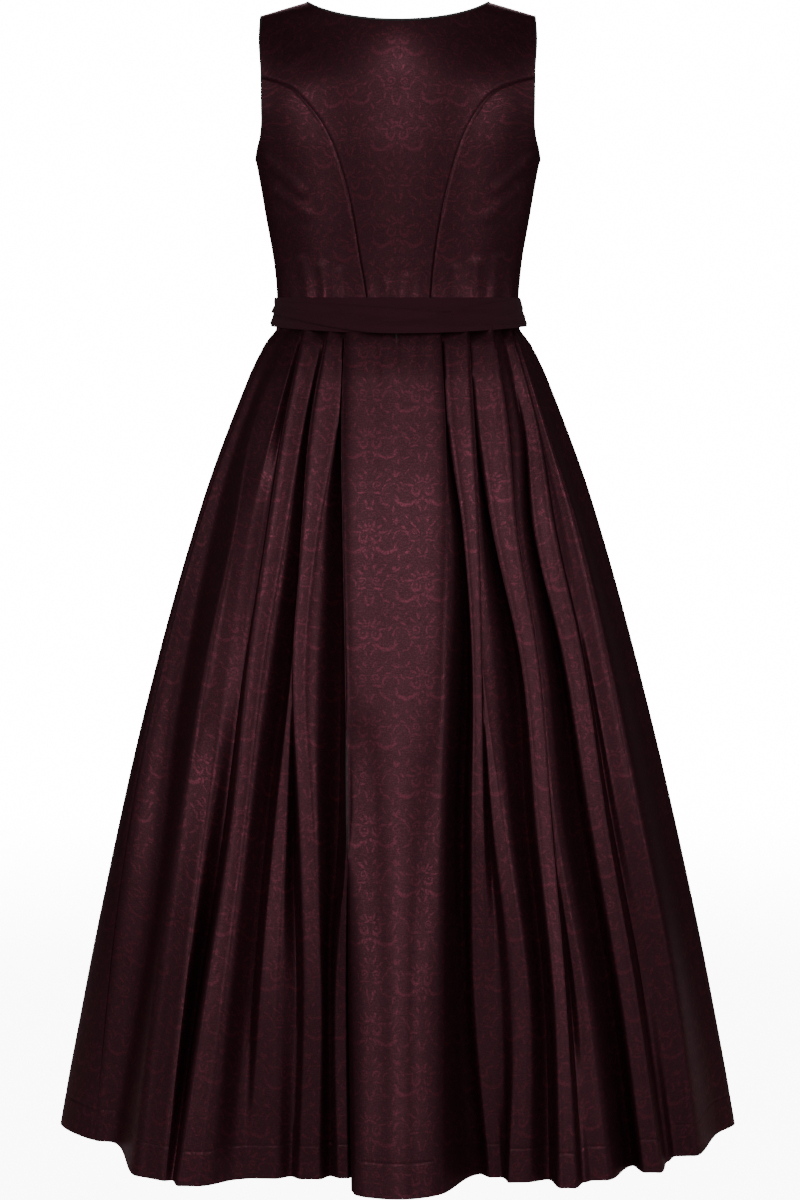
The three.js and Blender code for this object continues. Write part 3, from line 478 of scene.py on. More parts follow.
def outer_edge(side, hand, mirror):
    seam = princess(side, hand, mirror)
    top = float(shoulder_height(STRAP_OUTER_EDGE))
    z = np.linspace(seam[-1, 1], top, ARMHOLE_ROWS + 1)[1:]
    deg = column(ARMHOLE, side["name"], z)
    deg[-1] = degrees_at(STRAP_OUTER_EDGE, top)
    return np.concatenate([seam, line_of(mirror * deg, z)])


def armhole_down(side, mirror, top):
    share = np.array(SIDE_SHARES)
    z = top + (UNDERARM - top) * np.sin(share * math.pi / 2)
    deg = column(ARMHOLE, side["name"], z)
    deg[-1] = 90
    return line_of(mirror * deg, z)


def neck_height(side, x):
    drop, curve = NECK[side["name"]]
    share = np.maximum(0, 1 - (x / NECK_HALF_WIDTH) ** 2)
    inside = shoulder_height(NECK_HALF_WIDTH) - drop * share ** curve
    return np.where(np.abs(x) >= NECK_HALF_WIDTH, shoulder_height(x), inside)


def finer(steps, times):
    """The same places with more between them."""
    count = (len(steps) - 1) * times + 1
    return np.interp(np.linspace(0, len(steps) - 1, count), np.arange(len(steps)), steps)


def patch(side, left, right, bottom, top):
    """Grid of cloth inside four edge lines of (deg, z): left and right run up, bottom and top across."""
    def grow(line):
        return (line[:, 1] - line[0, 1]) / (line[-1, 1] - line[0, 1])
    v = ((grow(left) + grow(right)) / 2)[:, None, None]
    u = np.linspace(0, 1, len(bottom))[None, :, None]
    ruled = bottom[None] * (1 - v) + top[None] * v
    spot = ruled + (1 - u) ** 2 * (left[:, None] - ruled[:, :1]) + u ** 2 * (right[:, None] - ruled[:, -1:])
    return on_torso(side, spot[..., 0], spot[..., 1])


def distance_to(line, point):
    """Distance of each point from a line of points."""
    flat = point.reshape(-1, point.shape[-1])
    best = np.full(len(flat), np.inf)
    for start, end in zip(line[:-1], line[1:]):
        along = end - start
        t = np.clip((flat - start) @ along / max(along @ along, 1e-9), 0, 1)
        best = np.minimum(best, np.linalg.norm(flat - start - t[:, None] * along, axis=1))
    return best.reshape(point.shape[:-1])


def lengths(point, axis):
    """Length along the rows or columns of a grid, from its first place."""
    step = np.linalg.norm(np.diff(point, axis=axis), axis=-1)
    total = np.cumsum(step, axis=axis)
    start = np.zeros_like(np.take(total, [0], axis=axis))
    return np.concatenate([start, total], axis=axis)


def bodice_relief(side, point, seams, folds):
    """How far the cloth stands off its plain form: dips at seams, soft folds and unevenness."""
    x, z = point[..., 0], point[..., 2]
    relief = slack("bodice", x, z, 3 if side is BACK else 4)
    firmer_below = 0.6 + 0.4 * ease((-110 - z) / 150)
    for line, depth, width in seams:
        near = np.clip(1 - distance_to(line, point) / width, 0, 1)
        relief = relief - depth * firmer_below * near ** 1.6
    for (x0, z0, x1, z1), depth, width in folds:
        line = np.array([[x0, z0], [(x0 + x1) / 2 + 1.5, (z0 + z1) / 2], [x1, z1]], float)
        away = distance_to(line, point[..., [0, 2]])
        crest, foot = np.exp(-(away / width) ** 2), np.exp(-(away / (1.9 * width)) ** 2)
        relief = relief + depth * (crest - 0.5 * foot)
    return relief + gathers("bodice", x, z - SASH_TOP)


# Skirt surface

def base_depth(x, z):
    """How far the skirt's plain base stands towards the back at x."""
    wide, deep = column(SKIRT, "wide", z), column(SKIRT, "deep", z)
    return deep * np.sqrt(np.maximum(0.02, 1 - (x / wide) ** 2))


def pleat_profile(z):
    """Points across the pleats of the skirt back at each height: x and depth."""
    def at(values):
        return through(PLEAT_STATIONS, values, z) if np.ndim(values) else np.full(len(z), float(values))
    release = ease((WAIST - z) / PLEAT_RELEASE)
    soft = ease((SOFT_FROM - z) / SOFT_OVER)
    pressed, loose = PLEAT_EDGE
    edge = (pressed + (loose - pressed) * soft) * (0.35 + 0.65 * release)
    faces = []
    for _, left, turn, level, _, kept, _ in PLEATS:
        a, b = at(left), at(turn)
        faces.append((a, b, base_depth((a + b) / 2, z) + at(level) * release, at(kept)))

    def face_depth(face, x):
        a, b, level, kept = face
        return level + kept * (base_depth(x, z) - base_depth((a + b) / 2, z))
    across, depth = [], []
    for k, (_, _, _, _, valley, _, under) in enumerate(PLEATS):
        a, b, _, _ = faces[k]
        for t in np.linspace(0, 1, FACE_STEPS + 1):
            across.append(a + (b - a) * t)
            depth.append(face_depth(faces[k], across[-1]))
        if under is None:
            break
        # The flank falls to the valley from this face's edge, or back from the next face's edge
        gap = faces[k + 1][0] - b
        step = np.minimum(edge, 0.45 * gap)
        if under == "next":
            start, end, anchor = b, b + gap - step, depth[-1]
        else:
            start, end, anchor = b + step, b + gap, face_depth(faces[k + 1], b + gap)
        foot = end if under == "next" else start
        low = base_depth(foot, z) + at(valley) * release
        shares = np.linspace(0, 1, FLANK_STEPS + 1)
        for t in shares[1:] if under == "next" else shares[:-1]:
            near = t if under == "next" else 1 - t
            curve = (1 - soft) * near ** 1.4 + soft * near ** 2 * (3 - 2 * near)
            across.append(start + (end - start) * t)
            depth.append(anchor + (low - anchor) * curve)
    return np.stack(across, axis=1), np.stack(depth, axis=1)


def line_points(lines, z):
    """Places of fold lines given by angle and reach at each height."""
    wide = column(SKIRT, "wide", z)[:, None]
    deep = column(SKIRT, "deep", z)[:, None]
    release = ease((WAIST - z) / PLEAT_RELEASE)[:, None]
    turn = np.radians(np.stack([through(STATIONS, deg, z) for _, deg, _ in lines], axis=1))
    out = np.stack([through(STATIONS, reach, z) for _, _, reach in lines], axis=1)
    off = unit(np.stack([deep * np.sin(turn), -wide * np.cos(turn)], axis=-1))
    base = np.stack([wide * np.sin(turn), -deep * np.cos(turn)], axis=-1)
    return base + off * (out * release)[..., None]


def skirt_points(z):
    """Places of all points round the skirt at each height: heights x points x 2, in mm."""
    across, depth = pleat_profile(z)
    pleats = np.stack([across, -depth], axis=-1)
    return np.concatenate([line_points(LEFT_SIDE_LINES, z), pleats, line_points(RIGHT_SIDE_LINES, z),
                           line_points(FRONT_LINES, z)], axis=1)


def closed_curve(points, places):
    """Centripetal curve through a closed ring of points, read at places counted in points."""
    count = points.shape[1]
    i = np.floor(places).astype(int)
    t = (places - i)[None, :, None]
    p0, p1, p2, p3 = (points[:, (i + k) % count] for k in (-1, 0, 1, 2))

    def knot(a, b):
        return np.maximum(np.linalg.norm(b - a, axis=-1, keepdims=True), 1e-6) ** 0.5
    d0, d1, d2 = knot(p0, p1), knot(p1, p2), knot(p2, p3)
    start = ((p1 - p0) / d0 - (p2 - p0) / (d0 + d1) + (p2 - p1) / d1) * d1
    end = ((p2 - p1) / d1 - (p3 - p1) / (d1 + d2) + (p3 - p2) / d2) * d1
    return (p1 + start * t + (3 * (p2 - p1) - 2 * start - end) * t ** 2
            + (2 * (p1 - p2) + start + end) * t ** 3)


def skirt_surface(places, z):
    """Grid of the skirt's outer face and its outward directions."""
    plan = closed_curve(skirt_points(z), places)
    height = np.broadcast_to(z[:, None, None], plan.shape[:2] + (1,))
    point = np.concatenate([plan, height], axis=-1)
    across, up = 0.04, 2
    around = closed_curve(skirt_points(z), places + across) - closed_curve(skirt_points(z), places - across)
    rise = closed_curve(skirt_points(z + up), places) - closed_curve(skirt_points(z - up), places)
    flat = np.zeros(plan.shape[:2] + (1,))
    around = np.concatenate([around, flat], axis=-1)
    rise = np.concatenate([rise, flat + 2 * up], axis=-1)
    return point, unit(np.cross(around, rise))


def skirt_relief(point, arc, creases, seed):
    """Gathers under the sash, slack between the folds, small creases and the hem's stitch line."""
    x, z = point[..., 0], point[..., 2]
    relief = slack("skirt", arc, z, seed) * ease((WAIST - z) / 160) + gathers("skirt", arc, GATHERS_START - z)
    for heights, places, rise, width in creases:
        middle = np.interp(-z[:, 0], [-h for h in heights], places)[:, None]
        fade = ease((z[:, 0] - heights[-1]) / (0.6 * (heights[0] - heights[-1])))[:, None]
        relief = relief + fade * rise * np.exp(-((x - middle) / width) ** 2)
    stitch = np.exp(-((z - HEM - HEM_DEPTH) / HEM_STITCH["half_width"]) ** 2)
    dimple = 0.5 + 0.5 * np.cos(arc / HEM_STITCH["wave"]) ** 2
    return relief - HEM_STITCH["depth"] * stitch * dimple


# Meshes

def mesh_object(name, points, faces, slots=None, uv=None):
    mesh = bpy.data.meshes.new(name)
    mesh.from_pydata((points * MM).tolist(), [], faces)
    if uv is not None:
        layer = mesh.uv_layers.new(name="cloth")
        layer.data.foreach_set("uv", np.asarray(uv, np.float32).ravel())
    if slots is not None:
        mesh.polygons.foreach_set("material_index", np.asarray(slots, np.int32))
    mesh.polygons.foreach_set("use_smooth", np.ones(len(mesh.polygons), bool))
    mesh.update()
    piece = bpy.data.objects.new(name, mesh)
    bpy.context.scene.collection.objects.link(piece)
    return piece


def quads(a, b, c, d):
    return np.stack([a, b, c, d], axis=-1).reshape(-1, 4)


def cells(grid):
    """The four-sided faces between the rows and columns of a grid of point numbers."""
    return quads(grid[:-1, :-1], grid[:-1, 1:], grid[1:, 1:], grid[1:, :-1])


def shell(name, outer, inner, uv, ring=False):
    """Cloth between an outer and an inner grid of points, with its cut edges closed."""
    rows, columns = outer.shape[:2]
    spots = np.arange(rows * columns).reshape(rows, columns)
    marks = np.arange(uv.shape[0] * uv.shape[1]).reshape(uv.shape[:2])
    if ring:
        spots = np.concatenate([spots, spots[:, :1]], axis=1)
    inside = spots + rows * columns
    faces = [cells(spots), cells(inside)[:, ::-1]]
    marked = [cells(marks), cells(marks)[:, ::-1]]
    borders = [(spots[0], inside[0], marks[0], False), (spots[-1], inside[-1], marks[-1], True)]
    if not ring:
        borders += [(spots[:, 0], inside[:, 0], marks[:, 0], True)]
        borders += [(spots[:, -1], inside[:, -1], marks[:, -1], False)]
    for out_line, in_line, mark, turned in borders:
        face = quads(out_line[:-1], in_line[:-1], in_line[1:], out_line[1:])
        place = quads(mark[:-1], mark[:-1], mark[1:], mark[1:])
        faces.append(face[:, ::-1] if turned else face)
        marked.append(place[:, ::-1] if turned else place)
    points = np.concatenate([outer.reshape(-1, 3), inner.reshape(-1, 3)])
    first = faces[0]
    normal = np.cross(points[first[:, 2]] - points[first[:, 0]], points[first[:, 3]] - points[first[:, 1]])
    outward = points[first[:, 0]] - points[first[:, 0] + rows * columns]
    if (normal * outward).sum() < 0:
        faces = [face[:, ::-1] for face in faces]
        marked = [place[:, ::-1] for place in marked]
    # The second list of faces is the wrong side, which has the second material
    slots = np.concatenate([np.full(len(face), 1 if k == 1 else 0) for k, face in enumerate(faces)])
    flat_uv = uv.reshape(-1, 2)[np.concatenate(marked).ravel()] * MM
    piece = mesh_object(name, points, np.concatenate(faces).tolist(), slots, flat_uv)
    sharpen(piece, 50)
    return piece


def sharpen(piece, degrees):
    """Smooth faces, with hard edges where the surface turns more than that."""
    bpy.ops.object.select_all(action="DESELECT")
    bpy.context.view_layer.objects.active = piece
    piece.select_set(True)
    bpy.ops.object.shade_smooth_by_angle(angle=math.radians(degrees))
    piece.select_set(False)


def tube(name, middle, radius, closed, sides=10):
    """Round cord along points, its cloth laid out by length and way round."""
    count = len(middle)
    ahead = np.roll(middle, -1, axis=0) - np.roll(middle, 1, axis=0)
    if not closed:
        ahead[0], ahead[-1] = middle[1] - middle[0], middle[-1] - middle[-2]
    ahead = unit(ahead)
    side = unit(np.cross(ahead, np.array([0.13, 0.21, 1.0])))
    over = np.cross(side, ahead)
    turn = np.linspace(0, 2 * math.pi, sides, endpoint=False)
    ring = side[:, None] * np.cos(turn)[None, :, None] + over[:, None] * np.sin(turn)[None, :, None]
    points = (middle[:, None] + ring * radius).reshape(-1, 3)
    spots = np.arange(count * sides).reshape(count, sides)
    spots = np.concatenate([spots, spots[:, :1]], axis=1)
    if closed:
        spots = np.concatenate([spots, spots[:1]], axis=0)
    faces = cells(spots)[:, ::-1].tolist()
    along = np.concatenate([[0], np.cumsum(np.linalg.norm(np.diff(middle, axis=0), axis=1))])
    if closed:
        along = np.append(along, along[-1] + np.linalg.norm(middle[0] - middle[-1]))
    around = np.linspace(0, 2 * math.pi * radius, sides + 1)
    uv = np.stack(np.meshgrid(along, around, indexing="ij"), -1)
    marks = np.arange(uv.shape[0] * uv.shape[1]).reshape(uv.shape[:2])
    flat_uv = uv.reshape(-1, 2)[cells(marks)[:, ::-1].ravel()]
    if not closed:
        faces += [list(range(sides)), list(range((count - 1) * sides, count * sides))[::-1]]
        flat_uv = np.concatenate([flat_uv, np.zeros((2 * sides, 2))])
    return mesh_object(name, points, faces, None, flat_uv * MM)


# Materials

def put(tree, socket, value):
    if isinstance(value, bpy.types.NodeSocket):
        tree.links.new(value, socket)
    else:
        socket.default_value = value


def calc(tree, operation, *values):
    node = tree.nodes.new("ShaderNodeMath")
    node.operation = operation
    for k, value in enumerate(values):
        put(tree, node.inputs[k], value)
    return node.outputs[0]


def spread(tree, value, low, high, to_low=0.0, to_high=1.0):
    """Smooth step from one range to another."""
    node = tree.nodes.new("ShaderNodeMapRange")
    node.interpolation_type = "SMOOTHSTEP"
    for key, number in zip(("Value", "From Min", "From Max", "To Min", "To Max"),
                           (value, low, high, to_low, to_high)):
        put(tree, node.inputs[key], number)
    return node.outputs["Result"]


def most(tree, *values):
    result = values[0]
    for value in values[1:]:
        result = calc(tree, "MAXIMUM", result, value)
    return result


def noise(tree, vector, scale, detail=2.0, distortion=0.0):
    node = tree.nodes.new("ShaderNodeTexNoise")
    put(tree, node.inputs["Vector"], vector)
    node.inputs["Scale"].default_value = scale
    node.inputs["Detail"].default_value = detail
    node.inputs["Distortion"].default_value = distortion
    return node.outputs["Fac"]


def placed(tree, vector, place=(0, 0, 0), turn=0.0, size=(1, 1, 1)):
    """A vector seen from a place, turned and in units of size."""
    node = tree.nodes.new("ShaderNodeMapping")
    node.vector_type = "TEXTURE"
    put(tree, node.inputs["Vector"], vector)
    node.inputs["Location"].default_value = place
    node.inputs["Rotation"].default_value = (0, 0, turn)
    node.inputs["Scale"].default_value = size
    return node.outputs["Vector"]


def length_of(tree, vector):
    node = tree.nodes.new("ShaderNodeVectorMath")
    node.operation = "LENGTH"
    put(tree, node.inputs[0], vector)
    return node.outputs["Value"]


def split(tree, vector):
    node = tree.nodes.new("ShaderNodeSeparateXYZ")
    put(tree, node.inputs[0], vector)
    return node.outputs[0], node.outputs[1]


def join(tree, x, y):
    node = tree.nodes.new("ShaderNodeCombineXYZ")
    put(tree, node.inputs[0], x)
    put(tree, node.inputs[1], y)
    return node.outputs[0]


def blend(tree, share, low, high):
    node = tree.nodes.new("ShaderNodeMix")
    node.data_type = "RGBA"
    put(tree, node.inputs["Factor"], share)
    put(tree, node.inputs["A"], low)
    put(tree, node.inputs["B"], high)
    return node.outputs["Result"]


def new_group(name, inputs, outputs):
    tree = bpy.data.node_groups.new(name, "ShaderNodeTree")
    for socket, kind in inputs:
        tree.interface.new_socket(socket, in_out="INPUT", socket_type=kind)
    for socket, kind in outputs:
        tree.interface.new_socket(socket, in_out="OUTPUT", socket_type=kind)
    return tree, tree.nodes.new("NodeGroupInput").outputs, tree.nodes.new("NodeGroupOutput").inputs


def ornament_mask(tree, x, y):
    """One repeat of the woven ornament: pairs of hooks and curls, arched stems, leaves and dots."""
    half = join(tree, calc(tree, "ABSOLUTE", x), y)
    whole, hollow = (length_of(tree, placed(tree, half, (across, up, 0), 0, (wide, tall, 1)))
                     for across, up, wide, tall in HOOK)
    mask = calc(tree, "MULTIPLY", spread(tree, whole, 1.1, 0.86), spread(tree, hollow, 0.84, 1.12))
    for across, up, start, pitch, reach in CURLS:
        local = placed(tree, half, (across, up, 0))
        a, b = split(tree, local)
        away = length_of(tree, local)
        round_share = calc(tree, "DIVIDE", calc(tree, "ARCTAN2", b, a), 2 * math.pi)
        phase = calc(tree, "FRACT", calc(tree, "ADD", round_share,
                                         calc(tree, "MULTIPLY_ADD", away, 1 / pitch, 2 - start)))
        line = spread(tree, calc(tree, "ABSOLUTE", calc(tree, "SUBTRACT", phase, 0.5)), 0.3, 0.14)
        mask = most(tree, mask, calc(tree, "MULTIPLY", line, spread(tree, away, reach + 0.7, reach - 0.7)))
    for across, up, wide, tall, low, high in ARCS:
        ring = length_of(tree, placed(tree, half, (across, up, 0), 0, (wide, tall, 1)))
        line = spread(tree, calc(tree, "ABSOLUTE", calc(tree, "SUBTRACT", ring, 1)), 0.15, 0.06)
        window = calc(tree, "MULTIPLY", spread(tree, y, low, low + 3), spread(tree, y, high, high - 3))
        mask = most(tree, mask, calc(tree, "MULTIPLY", line, window))
    for across, up, turn, long, wide in LEAVES + [(x0, y0, 0, size, size) for x0, y0, size in DOTS]:
        leaf = length_of(tree, placed(tree, half, (across, up, 0), math.radians(turn), (long, wide, 1)))
        mask = most(tree, mask, spread(tree, leaf, 1.2, 0.7))
    return mask


def jacquard_group():
    """Satin jacquard on a place in metres of cloth: thread mask, shade of the weave, and height."""
    tree, given, result = new_group("satin jacquard", [("Cloth", "NodeSocketVector")],
                                    [("Thread", "NodeSocketFloat"), ("Shade", "NodeSocketFloat"),
                                     ("Height", "NodeSocketFloat")])
    in_mm = placed(tree, given["Cloth"], size=(MM, MM, MM))
    x, y = split(tree, in_mm)
    # The weave's small irregularity moves the ornament by up to 3 mm across and 2.5 mm up
    for_x = noise(tree, in_mm, 0.16, 4.0)
    for_y = noise(tree, placed(tree, in_mm, (37, 11, 0)), 0.17, 4.0)
    x = calc(tree, "ADD", x, calc(tree, "MULTIPLY_ADD", for_x, 6.0, -3.0))
    y = calc(tree, "ADD", y, calc(tree, "MULTIPLY_ADD", for_y, 5.0, -2.5))
    # Every other row of ornaments stands half a repeat aside
    row = calc(tree, "FLOOR", calc(tree, "MULTIPLY_ADD", y, 2 / REPEAT_UP, 0.5))
    shift = calc(tree, "MULTIPLY", calc(tree, "FLOORED_MODULO", row, 2), REPEAT_ACROSS / 2)
    u = calc(tree, "WRAP", calc(tree, "ADD", x, shift), REPEAT_ACROSS / 2, -REPEAT_ACROSS / 2)
    v = calc(tree, "WRAP", y, REPEAT_UP / 4, -REPEAT_UP / 4)
    ornament = ornament_mask(tree, u, v)
    # Fine sprigs and specks fill the ground between the ornaments, and all threads are a little broken
    edges = tree.nodes.new("ShaderNodeTexVoronoi")
    edges.feature = "DISTANCE_TO_EDGE"
    put(tree, edges.inputs["Vector"], in_mm)
    edges.inputs["Scale"].default_value = 0.2
    sprig = spread(tree, edges.outputs["Distance"], 0.11, 0.03)
    patches = spread(tree, noise(tree, in_mm, 0.13, 2.0, 0.8), 0.46, 0.6)
    specks = spread(tree, noise(tree, in_mm, 0.6, 3.0, 0.4), 0.52, 0.62)
    ground = calc(tree, "MULTIPLY", calc(tree, "MULTIPLY", sprig, patches), 0.5)
    weave = most(tree, ornament, ground, calc(tree, "MULTIPLY", specks, 0.62))
    broken = spread(tree, noise(tree, in_mm, 0.55, 3.0), 0.36, 0.6, 0.2, 1.0)
    thread = calc(tree, "MULTIPLY", weave, broken)
    # Slubs of the weft and warp, and a cloudy unevenness, make the shade
    weft = noise(tree, placed(tree, in_mm, size=(7.0, 1.2, 1)), 1.0, 3.0)
    warp = noise(tree, placed(tree, in_mm, size=(1.1, 5.0, 1)), 1.0, 1.0)
    cloudy = noise(tree, in_mm, 0.03, 2.0)
    shade = calc(tree, "MULTIPLY_ADD", weft, 0.6, calc(tree, "MULTIPLY", warp, 0.2))
    shade = calc(tree, "MULTIPLY_ADD", cloudy, 0.2, shade)
    put(tree, result["Thread"], thread)
    put(tree, result["Shade"], shade)
    put(tree, result["Height"], calc(tree, "MULTIPLY", weft, 0.6))
    return tree


def surface(name, kind):
    """A material, its node tree, its Principled shader and the place on the cloth or in the object."""
    material = bpy.data.materials.new(name)
    material.use_nodes = True
    tree = material.node_tree
    shader = tree.nodes["Principled BSDF"]
    place = tree.nodes.new("ShaderNodeTexCoord").outputs["UV" if kind == "cloth" else "Object"]
    return material, tree, shader, place


def raise_surface(tree, shader, height, strength, distance):
    bump = tree.nodes.new("ShaderNodeBump")
    bump.inputs["Strength"].default_value = strength
    bump.inputs["Distance"].default_value = distance
    put(tree, bump.inputs["Height"], height)
    put(tree, shader.inputs["Normal"], bump.outputs["Normal"])


def woven(tree, jacquard, place):
    """The jacquard's thread mask, shade and height at a place on the cloth."""
    use = tree.nodes.new("ShaderNodeGroup")
    use.node_tree = jacquard
    put(tree, use.inputs["Cloth"], place)
    return use.outputs["Thread"], use.outputs["Shade"], use.outputs["Height"]


def satin(jacquard):
    material, tree, shader, place = surface("wine satin jacquard", "cloth")
    thread, shade, height = woven(tree, jacquard, place)
    low = blend(tree, shade, *COLOURS["satin ground"])
    high = blend(tree, shade, *COLOURS["satin thread"])
    put(tree, shader.inputs["Base Color"], blend(tree, thread, low, high))
    put(tree, shader.inputs["Roughness"], spread(tree, thread, 0, 1, 0.41, 0.34))
    shader.inputs["Metallic"].default_value = 0.72
    shader.inputs["Specular Tint"].default_value = (0.45, 0.25, 0.30, 1)
    shader.inputs["Specular IOR Level"].default_value = 0.5
    raise_surface(tree, shader, height, 0.22, 0.0004)
    return material


def satin_back(jacquard):
    material, tree, shader, place = surface("satin wrong side", "cloth")
    thread, shade, height = woven(tree, jacquard, place)
    low = blend(tree, shade, *COLOURS["wrong side"])
    put(tree, shader.inputs["Base Color"], blend(tree, thread, low, WRONG_SIDE_THREAD))
    put(tree, shader.inputs["Roughness"], spread(tree, shade, 0, 1, 0.62, 0.78))
    shader.inputs["Sheen Weight"].default_value = 0.1
    raise_surface(tree, shader, height, 0.3, 0.0005)
    return material


def sash_cloth():
    material, tree, shader, place = surface("plain sash cloth", "cloth")
    in_mm = placed(tree, place, size=(MM, MM, MM))
    weave = noise(tree, placed(tree, in_mm, size=(2.4, 0.8, 1)), 1.0, 3.0)
    cloudy = noise(tree, placed(tree, in_mm, size=(60, 9, 1)), 1.0, 2.0)
    mixed = calc(tree, "MULTIPLY_ADD", weave, 0.5, calc(tree, "MULTIPLY", cloudy, 0.5))
    put(tree, shader.inputs["Base Color"], blend(tree, mixed, *COLOURS["sash"]))
    put(tree, shader.inputs["Roughness"], spread(tree, weave, 0.2, 0.8, 0.62, 0.8))
    shader.inputs["Specular IOR Level"].default_value = 0.18
    shader.inputs["Specular Tint"].default_value = (0.8, 0.45, 0.55, 1)
    shader.inputs["Sheen Weight"].default_value = 0.03
    shader.inputs["Sheen Roughness"].default_value = 0.5
    raise_surface(tree, shader, mixed, 0.25, 0.0005)
    return material


def cord_cloth():
    material, tree, shader, place = surface("charcoal piping cord", "cloth")
    in_mm = placed(tree, place, size=(MM, MM, MM))
    lay = tree.nodes.new("ShaderNodeTexWave")
    lay.wave_type = "BANDS"
    lay.bands_direction = "DIAGONAL"
    put(tree, lay.inputs["Vector"], in_mm)
    lay.inputs["Scale"].default_value = 0.55
    lay.inputs["Distortion"].default_value = 0.8
    # A light line at one fixed place round the cord: partly a silver thread, partly a painted highlight along
    # the cord
    _, around = split(tree, in_mm)
    silver_line_and_highlight = spread(tree, calc(tree, "ABSOLUTE", calc(tree, "SUBTRACT", around, 3.7)), 1.1, 0.6)
    dark = blend(tree, lay.outputs["Fac"], *COLOURS["cord"])
    put(tree, shader.inputs["Base Color"], blend(tree, silver_line_and_highlight, dark, SILVER_THREAD_AND_HIGHLIGHT))
    put(tree, shader.inputs["Roughness"], spread(tree, lay.outputs["Fac"], 0, 1, 0.5, 0.34))
    shader.inputs["Specular IOR Level"].default_value = 0.7
    raise_surface(tree, shader, lay.outputs["Fac"], 0.4, 0.0004)
    return material


def horn():
    material, tree, shader, place = surface("dark horn", "object")
    grain = noise(tree, placed(tree, place, size=(0.0012, 0.0012, 0.005)), 1.0, 4.0, 1.5)
    put(tree, shader.inputs["Base Color"], blend(tree, grain, *COLOURS["horn"]))
    put(tree, shader.inputs["Roughness"], spread(tree, grain, 0.3, 0.7, 0.22, 0.34))
    shader.inputs["Coat Weight"].default_value = 0.3
    raise_surface(tree, shader, grain, 0.15, 0.0003)
    return material


def sewing_thread():
    material, tree, shader, place = surface("sewing thread", "object")
    twist = noise(tree, placed(tree, place, size=(0.0004, 0.0004, 0.0004)), 1.0, 2.0)
    put(tree, shader.inputs["Base Color"], blend(tree, twist, *COLOURS["sewing thread"]))
    put(tree, shader.inputs["Roughness"], spread(tree, twist, 0.3, 0.7, 0.5, 0.7))
    raise_surface(tree, shader, twist, 0.4, 0.0002)
    return material


# Pieces

def dress(piece, node, materials):
    """Gives a finished piece its materials, and says what it is to the frame."""
    for material in materials:
        piece.data.materials.append(material)
    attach(piece, "root")
    if node:
        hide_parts(node)
    return piece


def panel(side, grid, seams, centre_column, up_shift, folds=()):
    """Outer and inner points of a bodice panel, and its places on the cloth."""
    point, out = grid
    relief = bodice_relief(side, point, seams, folds)[..., None]
    outer = point + out * relief
    inner = point + out * (np.minimum(0, relief) - BODICE_CLOTH)
    across = lengths(point, 1)
    across = across - across[:, [centre_column]]
    up = lengths(point, 0) + up_shift
    return outer, inner, np.stack([across, up], axis=-1)


def edge_points(side, line):
    return on_torso(side, line[:, 0], line[:, 1])[0]


def back_centre():
    left, right = outer_edge(BACK, "left", -1), outer_edge(BACK, "right", 1)
    mirrored = [-x for x in BACK_NECK_STEPS[:0:-1]]
    across = finer(mirrored + BACK_NECK_STEPS, BACK_NECK_FINER)
    ends = column(PRINCESS["back"], "left", WAIST), column(PRINCESS["back"], "right", WAIST)
    bottom = np.linspace(-ends[0], ends[1], len(across))
    grid = patch(BACK, left, right, line_of(degrees_at(bottom, WAIST), WAIST),
                 line_of(degrees_at(across, neck_height(BACK, across)), neck_height(BACK, across)))
    seams = [(edge_points(BACK, edge[:PANEL_ROWS]), *SEAM_DIPS["back curve"]) for edge in (left, right)]
    return grid, panel(BACK, grid, seams, len(across) // 2, PATTERN_PLACE["back centre"], BODICE_FOLDS)


def front_centre(hand, mirror):
    outer = outer_edge(FRONT, hand, mirror)
    across = finer(FRONT_NECK_STEPS, FRONT_NECK_FINER)
    reach = column(PRINCESS["front"], hand, WAIST)
    first = PLACKET_HALF_WIDTH / reach
    span = STRAP_OUTER_EDGE - PLACKET_HALF_WIDTH
    coarse = [0] + [first + (1 - first) * (x - PLACKET_HALF_WIDTH) / span for x in FRONT_NECK_STEPS[1:]]
    bottom = mirror * reach * finer(coarse, FRONT_NECK_FINER)
    neck = neck_height(FRONT, across)
    share = (outer[:, 1] - WAIST) / (outer[-1, 1] - WAIST)
    middle = line_of(0, WAIST + (neck[0] - WAIST) * share)
    grid = patch(FRONT, middle, outer, line_of(degrees_at(bottom, WAIST), WAIST),
                 line_of(degrees_at(mirror * across, neck), neck))
    seams = [(edge_points(FRONT, outer[:PANEL_ROWS]), *SEAM_DIPS["front curve"])]
    return grid, panel(FRONT, grid, seams, 0, PATTERN_PLACE["front centre"])


def side_panel(side, hand, mirror):
    seam = princess(side, hand, mirror)
    side_seam = line_of(mirror * 90, np.linspace(WAIST, UNDERARM, PANEL_ROWS))
    bottom = line_of(seam[0, 0] + (mirror * 90 - seam[0, 0]) * np.array(SIDE_SHARES), WAIST)
    top = armhole_down(side, mirror, seam[-1, 1])
    grid = patch(side, seam, side_seam, bottom, top)
    seams = [(edge_points(side, line), *SEAM_DIPS[name])
             for line, name in ((seam, "side curve"), (side_seam, "side"))]
    folds = BODICE_FOLDS if side is BACK else ()
    return grid, panel(side, grid, seams, 0, PATTERN_PLACE["side"], folds)


def cord_path(spots, radius):
    """Middle line of a cord along cloth edges: a spot has a point, the way out and a point further in."""
    point, out, inside = (np.array(part) for part in zip(*spots))
    point = point - out * BODICE_CLOTH / 2
    inside = inside - out * BODICE_CLOTH / 2
    return point + unit(point - inside) * (radius + SEAM_GAP)


def edge_spots(grid, rows, columns, step):
    """Spots along a grid's edge; step leads from the edge into the cloth."""
    point, out = grid
    inner = point[rows + step[0], columns + step[1]]
    return list(zip(point[rows, columns], out[rows, columns], inner))


